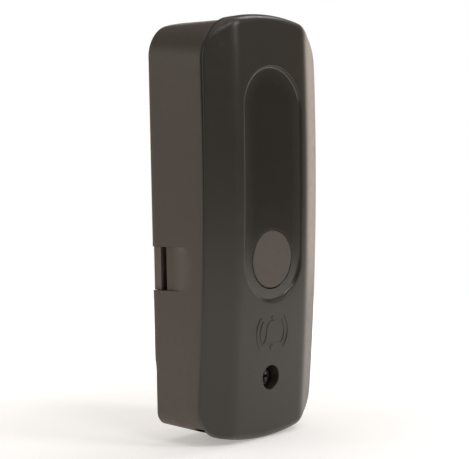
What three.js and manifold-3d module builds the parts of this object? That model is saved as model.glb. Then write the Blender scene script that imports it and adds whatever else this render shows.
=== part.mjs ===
// Wall-mounted video doorbell: mounting plate, deep rear housing with the electronics,
// and a faceted front cover that carries a smoked window and a round call button.
//
// Frame, in millimetres: the origin is the centre of the face that rests on the wall,
// +X is to the visitor's right, +Y goes into the wall and +Z is up, so the front faces -Y.
// "Depth" is the distance in front of the wall, so a point at depth d has y = -d.

import * as THREE from 'three';
import { mergeVertices } from 'three/addons/utils/BufferGeometryUtils.js';
import Module from 'manifold-3d';

const wasm = await Module();
wasm.setup();

// ---------------------------------------------------------------- driving dimensions

const HALF_HEIGHT = 75;
const GAP = 0.3;

// Outlines in the XZ plane: the ends are shallow arches that run into round corners.
const COVER_OUTLINE = {
  halfWidth: 29.4, top: 75, bottom: 75, archTop: 5.2, archBottom: 5.1, cornerTop: 12.4, cornerBottom: 9.2,
};
const REAR_OUTLINE = {
  halfWidth: 28.7, top: 75, bottom: 73, archTop: 5.2, archBottom: 5.1, cornerTop: 8.6, cornerBottom: 3.2,
};
const MOUTH_OUTLINE = {
  halfWidth: 29, top: 74, bottom: 74.4, archTop: 5.2, archBottom: 5.1, cornerTop: 12, cornerBottom: 8.8,
};
const MOUTH_DEPTH = 27;

// Depths along the height, as middle + slope * s - bulge * s * s with s = z / HALF_HEIGHT.
const PARTING = { middle: 27.1, slope: 3, bulge: 2.95 };
const CREASE = { middle: 32.4, slope: 2.7, bulge: 2.45 };
const FRONT_CROWN = 0.2;
const CREASE_HALF_WIDTH = 18.1;

const COVER_WALL = 1.9;
const COVER_RIM = 0.5;
const COVER_RIM_WIDTH = 2.4;
const GROOVE = 1;
// Insets of the cover's tongue and its seal are measured from the housing's mouth.
const TONGUE = { outer: 3.8, inner: 5, reach: 3.4 };
const SEAL = { outer: 2.8, inner: 3.5, front: 1.3, back: 2.5 };

const HOUSING_WALL = 2.2;
const FLOOR = { back: 7.5, front: 9.3 };
const PLATE = { thickness: 2.4, rimDepth: 4.2, inset: 2.6, rimWidth: 1.6 };
const PLATE_BOSS = { radius: 3.4, pilot: 1.7 };
const WALL_HOLES = { heights: [-52, 46], radius: 2.2, sinkRadius: 4, sinkFloor: 1 };
const CABLE_WINDOW = { halfWidth: 9, bottom: -34, top: -6 };
const LEVEL_SLOTS = { x: 14, halfLength: 3, bottom: -46, top: -44 };

// Side notches at the wall edge, with a tab of the mounting plate in each.
const NOTCH = {
  top: -5.6, bottom: -21, inner: 22, depth: 6.3, recess: 0.9, rampStart: 11, rampEnd: 18, rampRise: 0.2,
};
const TAB = { depth: 3.4, thickness: 1.2, foot: 3, gap: 0.12 };
const NOTCH_SCREEN = { inner: 20.3, outer: 21.7, depth: 7.1, bottom: -24, top: -3 };
const HEEL_STEP = { depth: 0.7, top: -45, bottom: -49 };
const CORNER_SLIT = { z: -69.6, height: 1.1, length: 5.5, inner: 21 };

// Stadium window and the call button at its lower end.
const WINDOW = { halfWidth: 14.87, lower: -10.9, upper: 41.9, recess: 1, thickness: 1.4 };
const WINDOW_POCKET = { halfWidth: 17.6, wall: 0.7 };
const WINDOW_PLATE_HALF_WIDTH = 16.2;
const WINDOW_GASKET = { outer: 17.4, inner: 16.4 };
const BUTTON = {
  radius: 10.2, hole: 10.45, sunk: 0.75, flangeRadius: 11.5, flangeFront: 27.4, flangeBack: 26.2,
};
const STEM = { radius: 2, tip: 21.4 };
const GUIDE = { outer: 14.2, inner: 12, front: 26.2, floorFront: 22.9, back: 21.7, hole: 2.5 };
const GUIDE_EAR = { reach: 20.2, radius: 2.8, front: 25.3, back: 23.8, hole: 1.1 };
const COVER_POST = { radius: 2.2, tip: 25.6, hole: 0.9, holeDepth: 2.4 };
const GUIDE_SCREW = { headRadius: 1.7, headHeight: 1.3, shankRadius: 0.6, reach: 2 };
const SPRING = { radius: 5.5, wire: 0.35, turns: 3, clearance: 0.2 };
const BUTTON_SEAL = { outer: 12, inner: 10.9, front: 3.4, back: 3.9 };
const LIGHT_RING = { outer: 14.2, inner: 12.6, front: 3.4, back: 4.6 };

// A handbell in low relief under the button.
const EMBLEM = {
  raise: 0.25, root: 0.6, domeRadius: 4, domeZ: -35.6, rimHalf: 6, rimZ: -41.2, bendZ: -38.6,
  clapperRadius: 1.5, clapperZ: -42.6, knobRadius: 1, knobZ: -31.2,
};

const SCREW_Z = -53;
const COUNTERBORE = { radius: 4.3, floor: 22.4, tubeRadius: 5.8, tubeTip: 19.9, hole: 2 };
const COVER_SCREW = { headRadius: 3.5, headHeight: 2.4, headBack: 23.6, shankRadius: 1.7, tip: 12.9 };
const SCREW_BOSS = { radius: 4.4, front: 19.3, bore: 3.1, boreFloor: 11 };
const SCREW_SEAL = { radius: 2.6, wire: 0.45 };
const INSERT = { radius: 2.8, front: 18.9, back: 13.2, bore: 2.15 };

const BOARD = { back: 15.8, front: 17.4, halfWidth: 25, bottom: -45, top: 64, hole: 1.4 };
const BOARD_CHAMFER = { across: 9.5, down: 4.5 };
const BOARD_POSTS = { x: 23, upper: 58, lower: -40, radius: 2, pilot: 1 };
const BOARD_SCREW = { headRadius: 2.1, headHeight: 1.4, shankRadius: 0.8, tip: 11 };
const BATTERY = { back: 9.6, front: 15.2, halfWidth: 20.4, bottom: -41.5, top: 58, corner: 2.5 };
const HOUSING_SCREWS = [['left', -20, 63.5], ['right', 20, 63.5], ['lower', -12, -49]];
const HOUSING_SCREW = { headRadius: 2.7, headHeight: 1.7, shankRadius: 1.4, tip: 3, hole: 1.8 };
const CAMERA = { z: 42, pivotDepth: 22.6, halfSize: 6.2, back: 19.6, front: 25.2, pin: 1.1, pinLength: 16.6 };
const CAMERA_BRACKET = {
  halfWidth: 10, halfHeight: 8.2, opening: 7, thickness: 1.5,
  earOuter: 8.4, earHalf: 3, earRise: 2.6, pivotHole: 1.4,
};
const SENSOR_BOARD = { half: 5.5, back: 18.6, front: 19.3 };
const INFRARED = { x: 7.5, levels: [['upper', 52.6], ['lower', 31.3]], radius: 1.5, tip: 28.5 };
const MOTION = { z: 17, capRadius: 4.1, flangeRadius: 4.6, capFront: 21.9, lensRadius: 7.2, lensInner: 6.3 };
const SWITCH = { half: 3, front: 19.4, well: 1.9, wellFloor: 18.5, plunger: 1.6, plungerBack: 19.6 };
const SHIELD = { halfWidth: 18, front: 20.4, bottom: -43, top: -28 };
const ANTENNA = { halfWidth: 14, back: 10, front: 21, bottom: 66.1, top: 66.9 };
const TERMINALS = {
  left: 9, right: 21, back: 9.6, front: 18.4, bottom: -60, top: -51.6, screwZ: -55.8, screws: [12, 18],
};
const SPEAKER = { x: -13.5, depth: 16, radius: 6.2, bottom: -66, top: -61.6 };
const SPEAKER_GASKET = { outer: 5.6, inner: 4.2, bottom: -67.3, top: -66.3 };
const SOUND_SLOTS = { count: 5, pitch: 2.2, halfWidth: 0.6, halfLength: 4.5, taper: 0.5 };
const MICROPHONE = { x: 14.5, depth: 15, radius: 3, bottom: -67, top: -64.8, hole: 0.8 };
const MICROPHONE_SEAL = { outer: 3, inner: 1.4, bottom: -68.4, top: -67.3 };
const GROMMET = { x: 17, z: -46.6, hole: 3.6, flange: 4.6, back: 6.4, front: 10.6 };

// ---------------------------------------------------------------- depth formulas

function depthAlong(curve, z) {
  const s = z / HALF_HEIGHT;
  return curve.middle + curve.slope * s - curve.bulge * s * s;
}

function frontDepth(x, z) {
  const ridge = depthAlong(CREASE, z);
  const out = Math.abs(x);
  if (out <= CREASE_HALF_WIDTH) return ridge + FRONT_CROWN * (1 - (out / CREASE_HALF_WIDTH) ** 2);
  const share = (out - CREASE_HALF_WIDTH) / (COVER_OUTLINE.halfWidth - CREASE_HALF_WIDTH);
  return ridge + (depthAlong(PARTING, z) - ridge) * share;
}

// ---------------------------------------------------------------- geometry helpers

function facingOut(geometry) {
  const p = geometry.attributes.position;
  const index = geometry.index.array;
  const [a, b, c] = [new THREE.Vector3(), new THREE.Vector3(), new THREE.Vector3()];
  let volume = 0;
  for (let i = 0; i < index.length; i += 3) {
    a.fromBufferAttribute(p, index[i]);
    b.fromBufferAttribute(p, index[i + 1]);
    c.fromBufferAttribute(p, index[i + 2]);
    volume += a.dot(b.cross(c));
  }
  if (volume < 0) {
    for (let i = 0; i < index.length; i += 3) {
      [index[i], index[i + 1]] = [index[i + 1], index[i]];
    }
  }
  return geometry;
}

function solid(geometry) {
  const bare = geometry.clone();
  bare.deleteAttribute('normal');
  bare.deleteAttribute('uv');
  const merged = facingOut(mergeVertices(bare, 1e-5));
  const vertProperties = new Float32Array(merged.attributes.position.array);
  const triVerts = new Uint32Array(merged.index.array);
  return new wasm.Manifold(new wasm.Mesh({ numProp: 3, vertProperties, triVerts }));
}

function join(...solids) {
  return solids.reduce((whole, piece) => whole.add(piece));
}

function cut(body, ...tools) {
  return tools.reduce((whole, tool) => whole.subtract(tool), body);
}

// Triangles that fill a ring, wound the same way round as the ring itself.
function capTriangles(ring, u, v) {
  const flat = ring.map((point) => new THREE.Vector2(point[u], point[v]));
  const turn = Math.sign(THREE.ShapeUtils.area(flat));
  return THREE.ShapeUtils.triangulateShape(flat, []).map(([a, b, c]) => {
    const same = Math.sign(THREE.ShapeUtils.area([flat[a], flat[b], flat[c]])) === turn;
    return same ? [a, b, c] : [a, c, b];
  });
}

// A closed skin through rings of equal point count; the two end rings are capped.
function loft(rings, flatAxes) {
  const count = rings[0].length;
  const [u, v] = flatAxes;
  const index = [];
  for (let r = 0; r + 1 < rings.length; r += 1) {
    for (let i = 0; i < count; i += 1) {
      const next = (i + 1) % count;
      const [a, b] = [r * count + i, r * count + next];
      const [c, d] = [a + count, b + count];
      index.push(a, b, d, a, d, c);
    }
  }
  const start = (rings.length - 1) * count;
  capTriangles(rings[0], u, v).forEach(([a, b, c]) => index.push(a, c, b));
  capTriangles(rings.at(-1), u, v).forEach(([a, b, c]) => index.push(start + a, start + b, start + c));
  const geometry = new THREE.BufferGeometry();
  geometry.setAttribute('position', new THREE.Float32BufferAttribute(rings.flat(2), 3));
  geometry.setIndex(index);
  return geometry;
}

// Outline points [x, z], counter-clockwise seen from the front.
function outlinePoints(outline, inset) {
  const half = outline.halfWidth - inset;
  const shrink = (half / outline.halfWidth) ** 2;
  const cornerSteps = 4;
  const archSteps = 6;
  const end = (peak, arch, corner) => {
    const radius = Math.max(corner - inset, 0.6);
    const flat = half - radius;
    const points = [];
    const add = (x, beyond) => {
      const drop = radius - Math.sqrt(Math.max(radius * radius - beyond * beyond, 0));
      points.push([x, peak - inset - arch * shrink * (x / half) ** 2 - drop]);
    };
    for (let i = cornerSteps; i > 0; i -= 1) {
      const beyond = radius * Math.sin((Math.PI / 2) * (i / cornerSteps));
      add(flat + beyond, beyond);
    }
    for (let i = 0; i <= archSteps; i += 1) add(flat * (1 - (2 * i) / archSteps), 0);
    for (let i = 1; i <= cornerSteps; i += 1) {
      const beyond = radius * Math.sin((Math.PI / 2) * (i / cornerSteps));
      add(-flat - beyond, beyond);
    }
    return points;
  };
  const top = end(outline.top, outline.archTop, outline.cornerTop);
  const bottom = end(outline.bottom, outline.archBottom, outline.cornerBottom).map(([x, z]) => [-x, -z]);
  return [...top, ...bottom];
}

// Extrudes an XZ shape from one depth to another.
function prism(shape, backDepth, frontDepthLimit, curveSegments = 12) {
  const geometry = new THREE.ExtrudeGeometry(shape, {
    depth: frontDepthLimit - backDepth, bevelEnabled: false, curveSegments,
  });
  geometry.rotateX(Math.PI / 2);
  geometry.translate(0, -backDepth, 0);
  return solid(geometry);
}

function shapeOf(points) {
  return new THREE.Shape(points.map(([x, z]) => new THREE.Vector2(x, z)));
}

function stadiumShape(halfWidth) {
  const shape = new THREE.Shape();
  shape.absarc(0, WINDOW.upper, halfWidth, 0, Math.PI, false);
  shape.absarc(0, WINDOW.lower, halfWidth, Math.PI, 2 * Math.PI, false);
  return shape;
}

function coverPrism(inset) {
  return prism(shapeOf(outlinePoints(COVER_OUTLINE, inset)), 5, REACH);
}

// A band that follows the inside of the housing's mouth.
function mouthBand(outer, inner) {
  const hole = prism(shapeOf(outlinePoints(MOUTH_OUTLINE, inner)), 4, REACH + 1);
  return cut(prism(shapeOf(outlinePoints(MOUTH_OUTLINE, outer)), 5, REACH), hole);
}

function box(x0, x1, backDepth, frontLimit, z0, z1) {
  const geometry = new THREE.BoxGeometry(x1 - x0, frontLimit - backDepth, z1 - z0);
  geometry.translate((x0 + x1) / 2, -(backDepth + frontLimit) / 2, (z0 + z1) / 2);
  return solid(geometry);
}

// Box between two distances from the middle on one side, -1 for the left or 1 for the right.
function sideBox(side, inner, outer, backDepth, frontLimit, z0, z1) {
  const [x0, x1] = [side * inner, side * outer].sort((a, b) => a - b);
  return box(x0, x1, backDepth, frontLimit, z0, z1);
}

function centredBox(halfWidth, backDepth, frontLimit, z0, z1) {
  return box(-halfWidth, halfWidth, backDepth, frontLimit, z0, z1);
}

// Solid of revolution about a line along Y; the profile holds [radius, depth] pairs.
function turned(profile, x, z, segments = 24) {
  const points = profile.map(([radius, depth]) => new THREE.Vector2(radius, -depth));
  const geometry = new THREE.LatheGeometry(points, segments);
  geometry.translate(x, 0, z);
  return solid(geometry);
}

function rod(radius, backDepth, frontLimit, x, z, segments = 24) {
  return turned([[0, backDepth], [radius, backDepth], [radius, frontLimit], [0, frontLimit]], x, z, segments);
}

function tube(outer, inner, backDepth, frontLimit, x, z, segments = 24) {
  const profile = [
    [inner, backDepth], [outer, backDepth], [outer, frontLimit], [inner, frontLimit], [inner, backDepth],
  ];
  return turned(profile, x, z, segments);
}

// Solid of revolution about a vertical line; the profile holds [radius, z] pairs.
function turnedUpright(profile, x, depth, segments = 24) {
  const points = profile.map(([radius, z]) => new THREE.Vector2(radius, z));
  const geometry = new THREE.LatheGeometry(points, segments);
  geometry.rotateX(Math.PI / 2);
  geometry.translate(x, -depth, 0);
  return solid(geometry);
}

// ---------------------------------------------------------------- housing and cover volumes

function housingOutlineAt(depth) {
  const t = depth / MOUTH_DEPTH;
  return Object.fromEntries(
    Object.entries(REAR_OUTLINE).map(([key, value]) => [key, value + (MOUTH_OUTLINE[key] - value) * t]),
  );
}

function housingVolume(inset, backDepth, frontLimit) {
  const rings = [backDepth, frontLimit].map((depth) =>
    outlinePoints(housingOutlineAt(depth), inset).map(([x, z]) => [x, -depth, z]));
  return solid(loft(rings, [0, 2]));
}

const STATIONS = Array.from({ length: 9 }, (_, i) => -80 + 20 * i);
const REACH = 40;
const BELOW = -80;
const THIN = 0.001;

// Everything in front of the parting surface shifted back by setBack.
function inFrontOfParting(setBack) {
  const rings = STATIONS.map((z) => {
    const y = -(depthAlong(PARTING, z) - setBack);
    return [[-REACH, y, z], [REACH, y, z], [REACH, -REACH, z], [-REACH, -REACH, z]];
  });
  return solid(loft(rings, [0, 1]));
}

// Everything behind the cover's outer face, lowered by sunk.
function behindFace(sunk) {
  const rings = STATIONS.map((z) => {
    const crease = CREASE_HALF_WIDTH;
    const edge = COVER_OUTLINE.halfWidth + 1;
    const face = [edge, crease, crease / 2, 0, -crease / 2, -crease, -edge];
    const front = face.map((x) => [x, -(frontDepth(x, z) - sunk), z]);
    return [[-edge, 0, z], [edge, 0, z], ...front];
  });
  return solid(loft(rings, [0, 1]));
}

function faceLayer(shape, sunkFront, sunkBack, curveSegments = 12) {
  return cut(prism(shape, 5, REACH, curveSegments).intersect(behindFace(sunkFront)), behindFace(sunkBack));
}

// ---------------------------------------------------------------- materials

function material(colour, roughness, metalness = 0, extra = {}) {
  return new THREE.MeshStandardMaterial({ color: colour, roughness, metalness, ...extra });
}

const MATERIALS = {
  housing: material(0x4a423c, 0.62),
  cover: material(0x35322f, 0.42),
  window: material(0x14130f, 0.12, 0, { transparent: true, opacity: 0.85 }),
  button: material(0x564d48, 0.7),
  rubber: material(0x1c1c1c, 0.85),
  plate: material(0x2d2b29, 0.7),
  steel: material(0xa8a8aa, 0.35, 1),
  brass: material(0xb08d4f, 0.4, 1),
  board: material(0x1f4a33, 0.55),
  tin: material(0xb9bcbf, 0.35, 0.9),
  blackPlastic: material(0x18181a, 0.5),
  diffuser: material(0xdde3e6, 0.45, 0, { transparent: true, opacity: 0.8 }),
  glass: material(0x22303a, 0.05, 0, { transparent: true, opacity: 0.6 }),
  pouch: material(0x9aa0a6, 0.45, 0.3),
  terminal: material(0x2f6b46, 0.55),
  flex: material(0x7a4b1c, 0.5),
};

const group = new THREE.Group();

function addPart(name, body, slot) {
  const mesh = body.getMesh();
  const geometry = new THREE.BufferGeometry();
  geometry.setAttribute('position', new THREE.BufferAttribute(mesh.vertProperties, mesh.numProp));
  geometry.setIndex(new THREE.BufferAttribute(mesh.triVerts, 1));
  geometry.computeVertexNormals();
  const part = new THREE.Mesh(geometry, MATERIALS[slot]);
  part.name = name;
  group.add(part);
}

// ---------------------------------------------------------------- mounting plate

// The tab that shows in a side notch: a foot on the plate with a thin upright at its outer edge.
function plateTab(side) {
  const outer = REAR_OUTLINE.halfWidth - NOTCH.recess;
  const [low, high] = [NOTCH.bottom + TAB.gap, NOTCH.top - TAB.gap];
  const foot = sideBox(side, outer - TAB.foot, outer, 0, PLATE.thickness, low, high);
  return join(foot, sideBox(side, outer - TAB.thickness, outer, 0, TAB.depth, low, high));
}

function mountPlate() {
  const base = housingVolume(PLATE.inset, 0, PLATE.thickness);
  const ring = cut(
    housingVolume(PLATE.inset, 0, PLATE.rimDepth),
    housingVolume(PLATE.inset + PLATE.rimWidth, -1, PLATE.rimDepth + 1),
  );
  const rim = cut(ring, ...[-1, 1].map((side) =>
    sideBox(side, NOTCH.inner, REACH, PLATE.thickness, PLATE.rimDepth + 1, NOTCH.bottom, NOTCH.top)));
  const screens = [-1, 1].map((side) => sideBox(side, NOTCH_SCREEN.inner, NOTCH_SCREEN.outer,
    0, NOTCH_SCREEN.depth, NOTCH_SCREEN.bottom, NOTCH_SCREEN.top));
  const bosses = HOUSING_SCREWS.map(([, x, z]) => rod(PLATE_BOSS.radius, 0, FLOOR.back - GAP, x, z, 16));
  const pilots = HOUSING_SCREWS.map(([, x, z]) =>
    rod(PLATE_BOSS.pilot, PLATE.thickness / 2, FLOOR.back, x, z, 12));
  const { halfWidth, bottom, top } = CABLE_WINDOW;
  const cableWindow = box(-halfWidth, halfWidth, -1, PLATE.rimDepth, bottom, top);
  const { heights, radius, sinkRadius, sinkFloor } = WALL_HOLES;
  const sinkTop = PLATE.thickness + 0.6;
  const sunkHole = [[0, -1], [radius, -1], [radius, sinkFloor], [sinkRadius, sinkTop], [0, sinkTop]];
  const wallHoles = heights.map((z) => turned(sunkHole, 0, z, 20));
  const level = [-1, 1].map((side) => sideBox(side, LEVEL_SLOTS.x - LEVEL_SLOTS.halfLength,
    LEVEL_SLOTS.x + LEVEL_SLOTS.halfLength, -1, PLATE.rimDepth, LEVEL_SLOTS.bottom, LEVEL_SLOTS.top));
  const whole = join(base, rim, ...screens, ...bosses, ...[-1, 1].map(plateTab));
  return cut(whole, cableWindow, ...wallHoles, ...pilots, ...level);
}

// ---------------------------------------------------------------- rear housing

// Wall cut-out for a notch, and the ramp that brings the wall back flush in front of it.
function notchCutters(side) {
  const outer = REAR_OUTLINE.halfWidth + 1;
  const inner = REAR_OUTLINE.halfWidth - NOTCH.recess;
  const opening = sideBox(side, NOTCH.inner, outer, -1, NOTCH.depth, NOTCH.bottom, NOTCH.top);
  const overlap = NOTCH.depth - 0.5;
  const ramp = (z) => [
    [side * inner, -overlap, z],
    [side * outer, -overlap, z],
    [side * outer, -NOTCH.rampEnd, z],
    [side * (REAR_OUTLINE.halfWidth + NOTCH.rampRise), -NOTCH.rampEnd, z],
    [side * inner, -NOTCH.rampStart, z],
  ];
  return [opening, solid(loft([ramp(NOTCH.bottom), ramp(NOTCH.top)], [0, 1]))];
}

// Takes a little off the skirt's rear edge below the heel step.
function heelCutter() {
  const steps = [[BELOW, HEEL_STEP.depth], [HEEL_STEP.bottom, HEEL_STEP.depth], [HEEL_STEP.top, 0]];
  const rings = steps.map(([z, depth]) =>
    [[-REACH, 1, z], [REACH, 1, z], [REACH, -depth - THIN, z], [-REACH, -depth - THIN, z]]);
  return cut(solid(loft(rings, [0, 1])), housingVolume(HOUSING_WALL, -2, 2));
}

function soundSlots() {
  const { count, pitch, halfWidth, taper } = SOUND_SLOTS;
  return Array.from({ length: count }, (_, i) => i - (count - 1) / 2).map((step) => {
    const x = SPEAKER.x + pitch * step;
    const halfLength = SOUND_SLOTS.halfLength - taper * Math.abs(step);
    const { depth, bottom } = SPEAKER;
    return box(x - halfWidth, x + halfWidth, depth - halfLength, depth + halfLength, BELOW, bottom);
  });
}

// Thin drain slits behind the parting line at the two lower corners.
function cornerSlit(side) {
  const { z, height, length, inner } = CORNER_SLIT;
  const front = depthAlong(PARTING, z) - COVER_RIM;
  return sideBox(side, inner, REACH, front - length, front + 2, z - height / 2, z + height / 2);
}

function rearHousing() {
  const shell = cut(
    housingVolume(0, 0, MOUTH_DEPTH + 3),
    housingVolume(HOUSING_WALL, FLOOR.front, MOUTH_DEPTH + 5),
    housingVolume(HOUSING_WALL, -1, FLOOR.back),
    inFrontOfParting(COVER_RIM + GROOVE),
  );
  const posts = [-1, 1].flatMap((side) => [BOARD_POSTS.upper, BOARD_POSTS.lower].map((z) =>
    rod(BOARD_POSTS.radius, FLOOR.back + 0.5, BOARD.back - GAP, side * BOARD_POSTS.x, z, 12)));
  const pilots = [-1, 1].flatMap((side) => [BOARD_POSTS.upper, BOARD_POSTS.lower].map((z) =>
    rod(BOARD_POSTS.pilot, FLOOR.front, BOARD.back, side * BOARD_POSTS.x, z, 8)));
  const boss = rod(SCREW_BOSS.radius, FLOOR.back + 0.5, SCREW_BOSS.front, 0, SCREW_Z, 24);
  const bossBore = rod(SCREW_BOSS.bore, SCREW_BOSS.boreFloor, SCREW_BOSS.front + 1, 0, SCREW_Z, 24);
  const [behindFloor, beforeFloor] = [FLOOR.back - 2, FLOOR.front + 2];
  const plateScrewHoles = HOUSING_SCREWS.map(([, x, z]) =>
    rod(HOUSING_SCREW.hole, behindFloor, beforeFloor, x, z, 12));
  const grommetHole = rod(GROMMET.hole, behindFloor, beforeFloor, GROMMET.x, GROMMET.z, 16);
  const { hole, top, x: micX, depth: micDepth } = MICROPHONE;
  const micHole = turnedUpright([[0, BELOW], [hole, BELOW], [hole, top], [0, top]], micX, micDepth, 10);
  return cut(
    join(shell, ...posts, boss),
    ...pilots, bossBore, ...plateScrewHoles, grommetHole, micHole, heelCutter(),
    ...soundSlots(), ...[-1, 1].flatMap(notchCutters), ...[-1, 1].map(cornerSlit),
  );
}

function screwInsert() {
  return tube(INSERT.radius, INSERT.bore, INSERT.back, INSERT.front, 0, SCREW_Z, 20);
}

// ---------------------------------------------------------------- front cover

function bellShape() {
  const { domeRadius, domeZ, rimHalf, rimZ, bendZ } = EMBLEM;
  const shape = new THREE.Shape();
  shape.moveTo(-rimHalf, rimZ);
  shape.lineTo(rimHalf, rimZ);
  shape.quadraticCurveTo(domeRadius, bendZ, domeRadius, domeZ);
  shape.absarc(0, domeZ, domeRadius, 0, Math.PI, false);
  shape.quadraticCurveTo(-domeRadius, bendZ, -rimHalf, rimZ);
  return shape;
}

function emblemRelief() {
  const clapper = new THREE.Shape();
  clapper.absarc(0, EMBLEM.clapperZ, EMBLEM.clapperRadius, 0, 2 * Math.PI, false);
  const knob = new THREE.Shape();
  knob.absarc(0, EMBLEM.knobZ, EMBLEM.knobRadius, 0, 2 * Math.PI, false);
  return [bellShape(), clapper, knob].map((shape) => faceLayer(shape, -EMBLEM.raise, EMBLEM.root, 3));
}

function frontCover() {
  const outer = coverPrism(0).intersect(behindFace(0)).intersect(inFrontOfParting(COVER_RIM));
  const inside = coverPrism(COVER_RIM_WIDTH).intersect(behindFace(COVER_WALL));
  const tongue = mouthBand(TONGUE.outer, TONGUE.inner)
    .intersect(behindFace(COVER_WALL / 2)).intersect(inFrontOfParting(TONGUE.reach));
  const tubeBody = rod(COUNTERBORE.tubeRadius, COUNTERBORE.tubeTip, REACH, 0, SCREW_Z, 28)
    .intersect(behindFace(COVER_WALL / 2));
  const posts = [-1, 1].map((side) =>
    rod(COVER_POST.radius, COVER_POST.tip, REACH, side * GUIDE_EAR.reach, WINDOW.lower, 12)
      .intersect(behindFace(COVER_WALL / 2)));
  const postPilots = [-1, 1].map((side) =>
    rod(COVER_POST.hole, COVER_POST.tip - 1, COVER_POST.tip + COVER_POST.holeDepth,
      side * GUIDE_EAR.reach, WINDOW.lower, 8));
  const windowHole = prism(stadiumShape(WINDOW.halfWidth), 5, REACH, 16);
  const pocket = prism(stadiumShape(WINDOW_POCKET.halfWidth), 5, REACH, 16)
    .intersect(behindFace(WINDOW_POCKET.wall));
  const counterbore = rod(COUNTERBORE.radius, COUNTERBORE.floor, REACH, 0, SCREW_Z, 28);
  const screwHole = rod(COUNTERBORE.hole, 15, REACH, 0, SCREW_Z, 16);
  const shell = cut(outer, inside, windowHole, pocket);
  return cut(join(shell, tongue, tubeBody, ...posts, ...emblemRelief()), ...postPilots, counterbore, screwHole);
}

function smokedWindow() {
  const shape = stadiumShape(WINDOW_PLATE_HALF_WIDTH);
  const hole = rod(BUTTON.hole, 5, REACH, 0, WINDOW.lower, 32);
  return cut(faceLayer(shape, WINDOW.recess, WINDOW.recess + WINDOW.thickness, 16), hole);
}

function windowGasket() {
  const { recess, thickness } = WINDOW;
  const ring = faceLayer(stadiumShape(WINDOW_GASKET.outer), recess, recess + thickness, 12);
  return cut(ring, prism(stadiumShape(WINDOW_GASKET.inner), 5, REACH, 12));
}

function coverSeal() {
  const band = mouthBand(SEAL.outer, SEAL.inner);
  return cut(band.intersect(inFrontOfParting(SEAL.back)), inFrontOfParting(SEAL.front));
}

// ---------------------------------------------------------------- call button

function callButton() {
  const z = WINDOW.lower;
  const cap = rod(BUTTON.radius, BUTTON.flangeBack, REACH, 0, z, 32).intersect(behindFace(BUTTON.sunk));
  const flange = rod(BUTTON.flangeRadius, BUTTON.flangeBack, BUTTON.flangeFront, 0, z, 32);
  const stem = rod(STEM.radius, STEM.tip, BUTTON.flangeFront, 0, z, 16);
  return join(cap, flange, stem);
}

// A ring behind the window, concentric with the button.
function ringLayer({ outer, inner, front, back }) {
  const shape = new THREE.Shape();
  shape.absarc(0, WINDOW.lower, outer, 0, 2 * Math.PI, false);
  return cut(faceLayer(shape, front, back, 16), rod(inner, 5, REACH, 0, WINDOW.lower, 32));
}

function buttonGuide() {
  const z = WINDOW.lower;
  const cup = cut(
    rod(GUIDE.outer, GUIDE.back, GUIDE.front, 0, z, 32),
    rod(GUIDE.inner, GUIDE.floorFront, GUIDE.front + 1, 0, z, 32),
  );
  const { reach, radius, back, front, hole } = GUIDE_EAR;
  const ears = [-1, 1].map((side) => {
    const arm = sideBox(side, GUIDE.inner + 1, reach, back, front, z - radius, z + radius);
    return join(arm, rod(radius, back, front, side * reach, z, 16));
  });
  const earHoles = [-1, 1].map((side) => rod(hole, back - 1, front + 1, side * reach, z, 10));
  return cut(join(cup, ...ears), rod(GUIDE.hole, GUIDE.back - 1, GUIDE.floorFront + 1, 0, z, 16), ...earHoles);
}

function buttonSpring() {
  const { radius, wire, turns, clearance } = SPRING;
  const start = GUIDE.floorFront + clearance + wire;
  const length = BUTTON.flangeBack - clearance - wire - start;
  class Helix extends THREE.Curve {
    getPoint(t, target = new THREE.Vector3()) {
      const angle = 2 * Math.PI * turns * t;
      return target.set(radius * Math.cos(angle), -start - length * t, WINDOW.lower + radius * Math.sin(angle));
    }
  }
  const section = new THREE.Shape();
  section.absarc(0, 0, wire, 0, 2 * Math.PI, false);
  return solid(new THREE.ExtrudeGeometry(section, {
    steps: 12 * turns, curveSegments: 3, bevelEnabled: false, extrudePath: new Helix(),
  }));
}

// ---------------------------------------------------------------- screws

// A pan-head screw that points into the wall, with a cross recess in its head.
function panHeadScrew({ headRadius, headHeight, shankRadius, tip }, x, z, headBack) {
  const headFront = headBack + headHeight;
  const crown = headHeight / 3;
  const profile = [
    [0, tip], [shankRadius * 0.6, tip], [shankRadius, tip + 0.8], [shankRadius, headBack],
    [headRadius, headBack], [headRadius, headFront - crown], [headRadius * 0.7, headFront], [0, headFront],
  ];
  const slotHalf = headRadius * 0.14;
  const reach = headRadius * 0.55;
  const floor = headFront - headHeight * 0.6;
  return cut(
    turned(profile, x, z, 12),
    box(x - reach, x + reach, floor, headFront + 1, z - slotHalf, z + slotHalf),
    box(x - slotHalf, x + slotHalf, floor, headFront + 1, z - reach, z + reach),
  );
}

// A small screw driven from behind into a post of the cover.
function guideScrew(x) {
  const { headRadius, headHeight, shankRadius, reach } = GUIDE_SCREW;
  const headFront = GUIDE_EAR.back - GAP;
  const headBack = headFront - headHeight;
  const profile = [
    [0, headBack], [headRadius, headBack], [headRadius, headFront],
    [shankRadius, headFront], [shankRadius, COVER_POST.tip + reach], [0, COVER_POST.tip + reach],
  ];
  return turned(profile, x, WINDOW.lower, 12);
}

function screwSeal() {
  const { radius, wire } = SCREW_SEAL;
  const centre = (COVER_SCREW.headBack + COUNTERBORE.floor) / 2;
  const profile = Array.from({ length: 9 }, (_, i) => {
    const angle = (2 * Math.PI * i) / 8;
    return [radius + wire * Math.cos(angle), centre + wire * Math.sin(angle)];
  });
  profile[8] = profile[0];
  return turned(profile, 0, SCREW_Z, 16);
}

// ---------------------------------------------------------------- electronics

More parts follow.
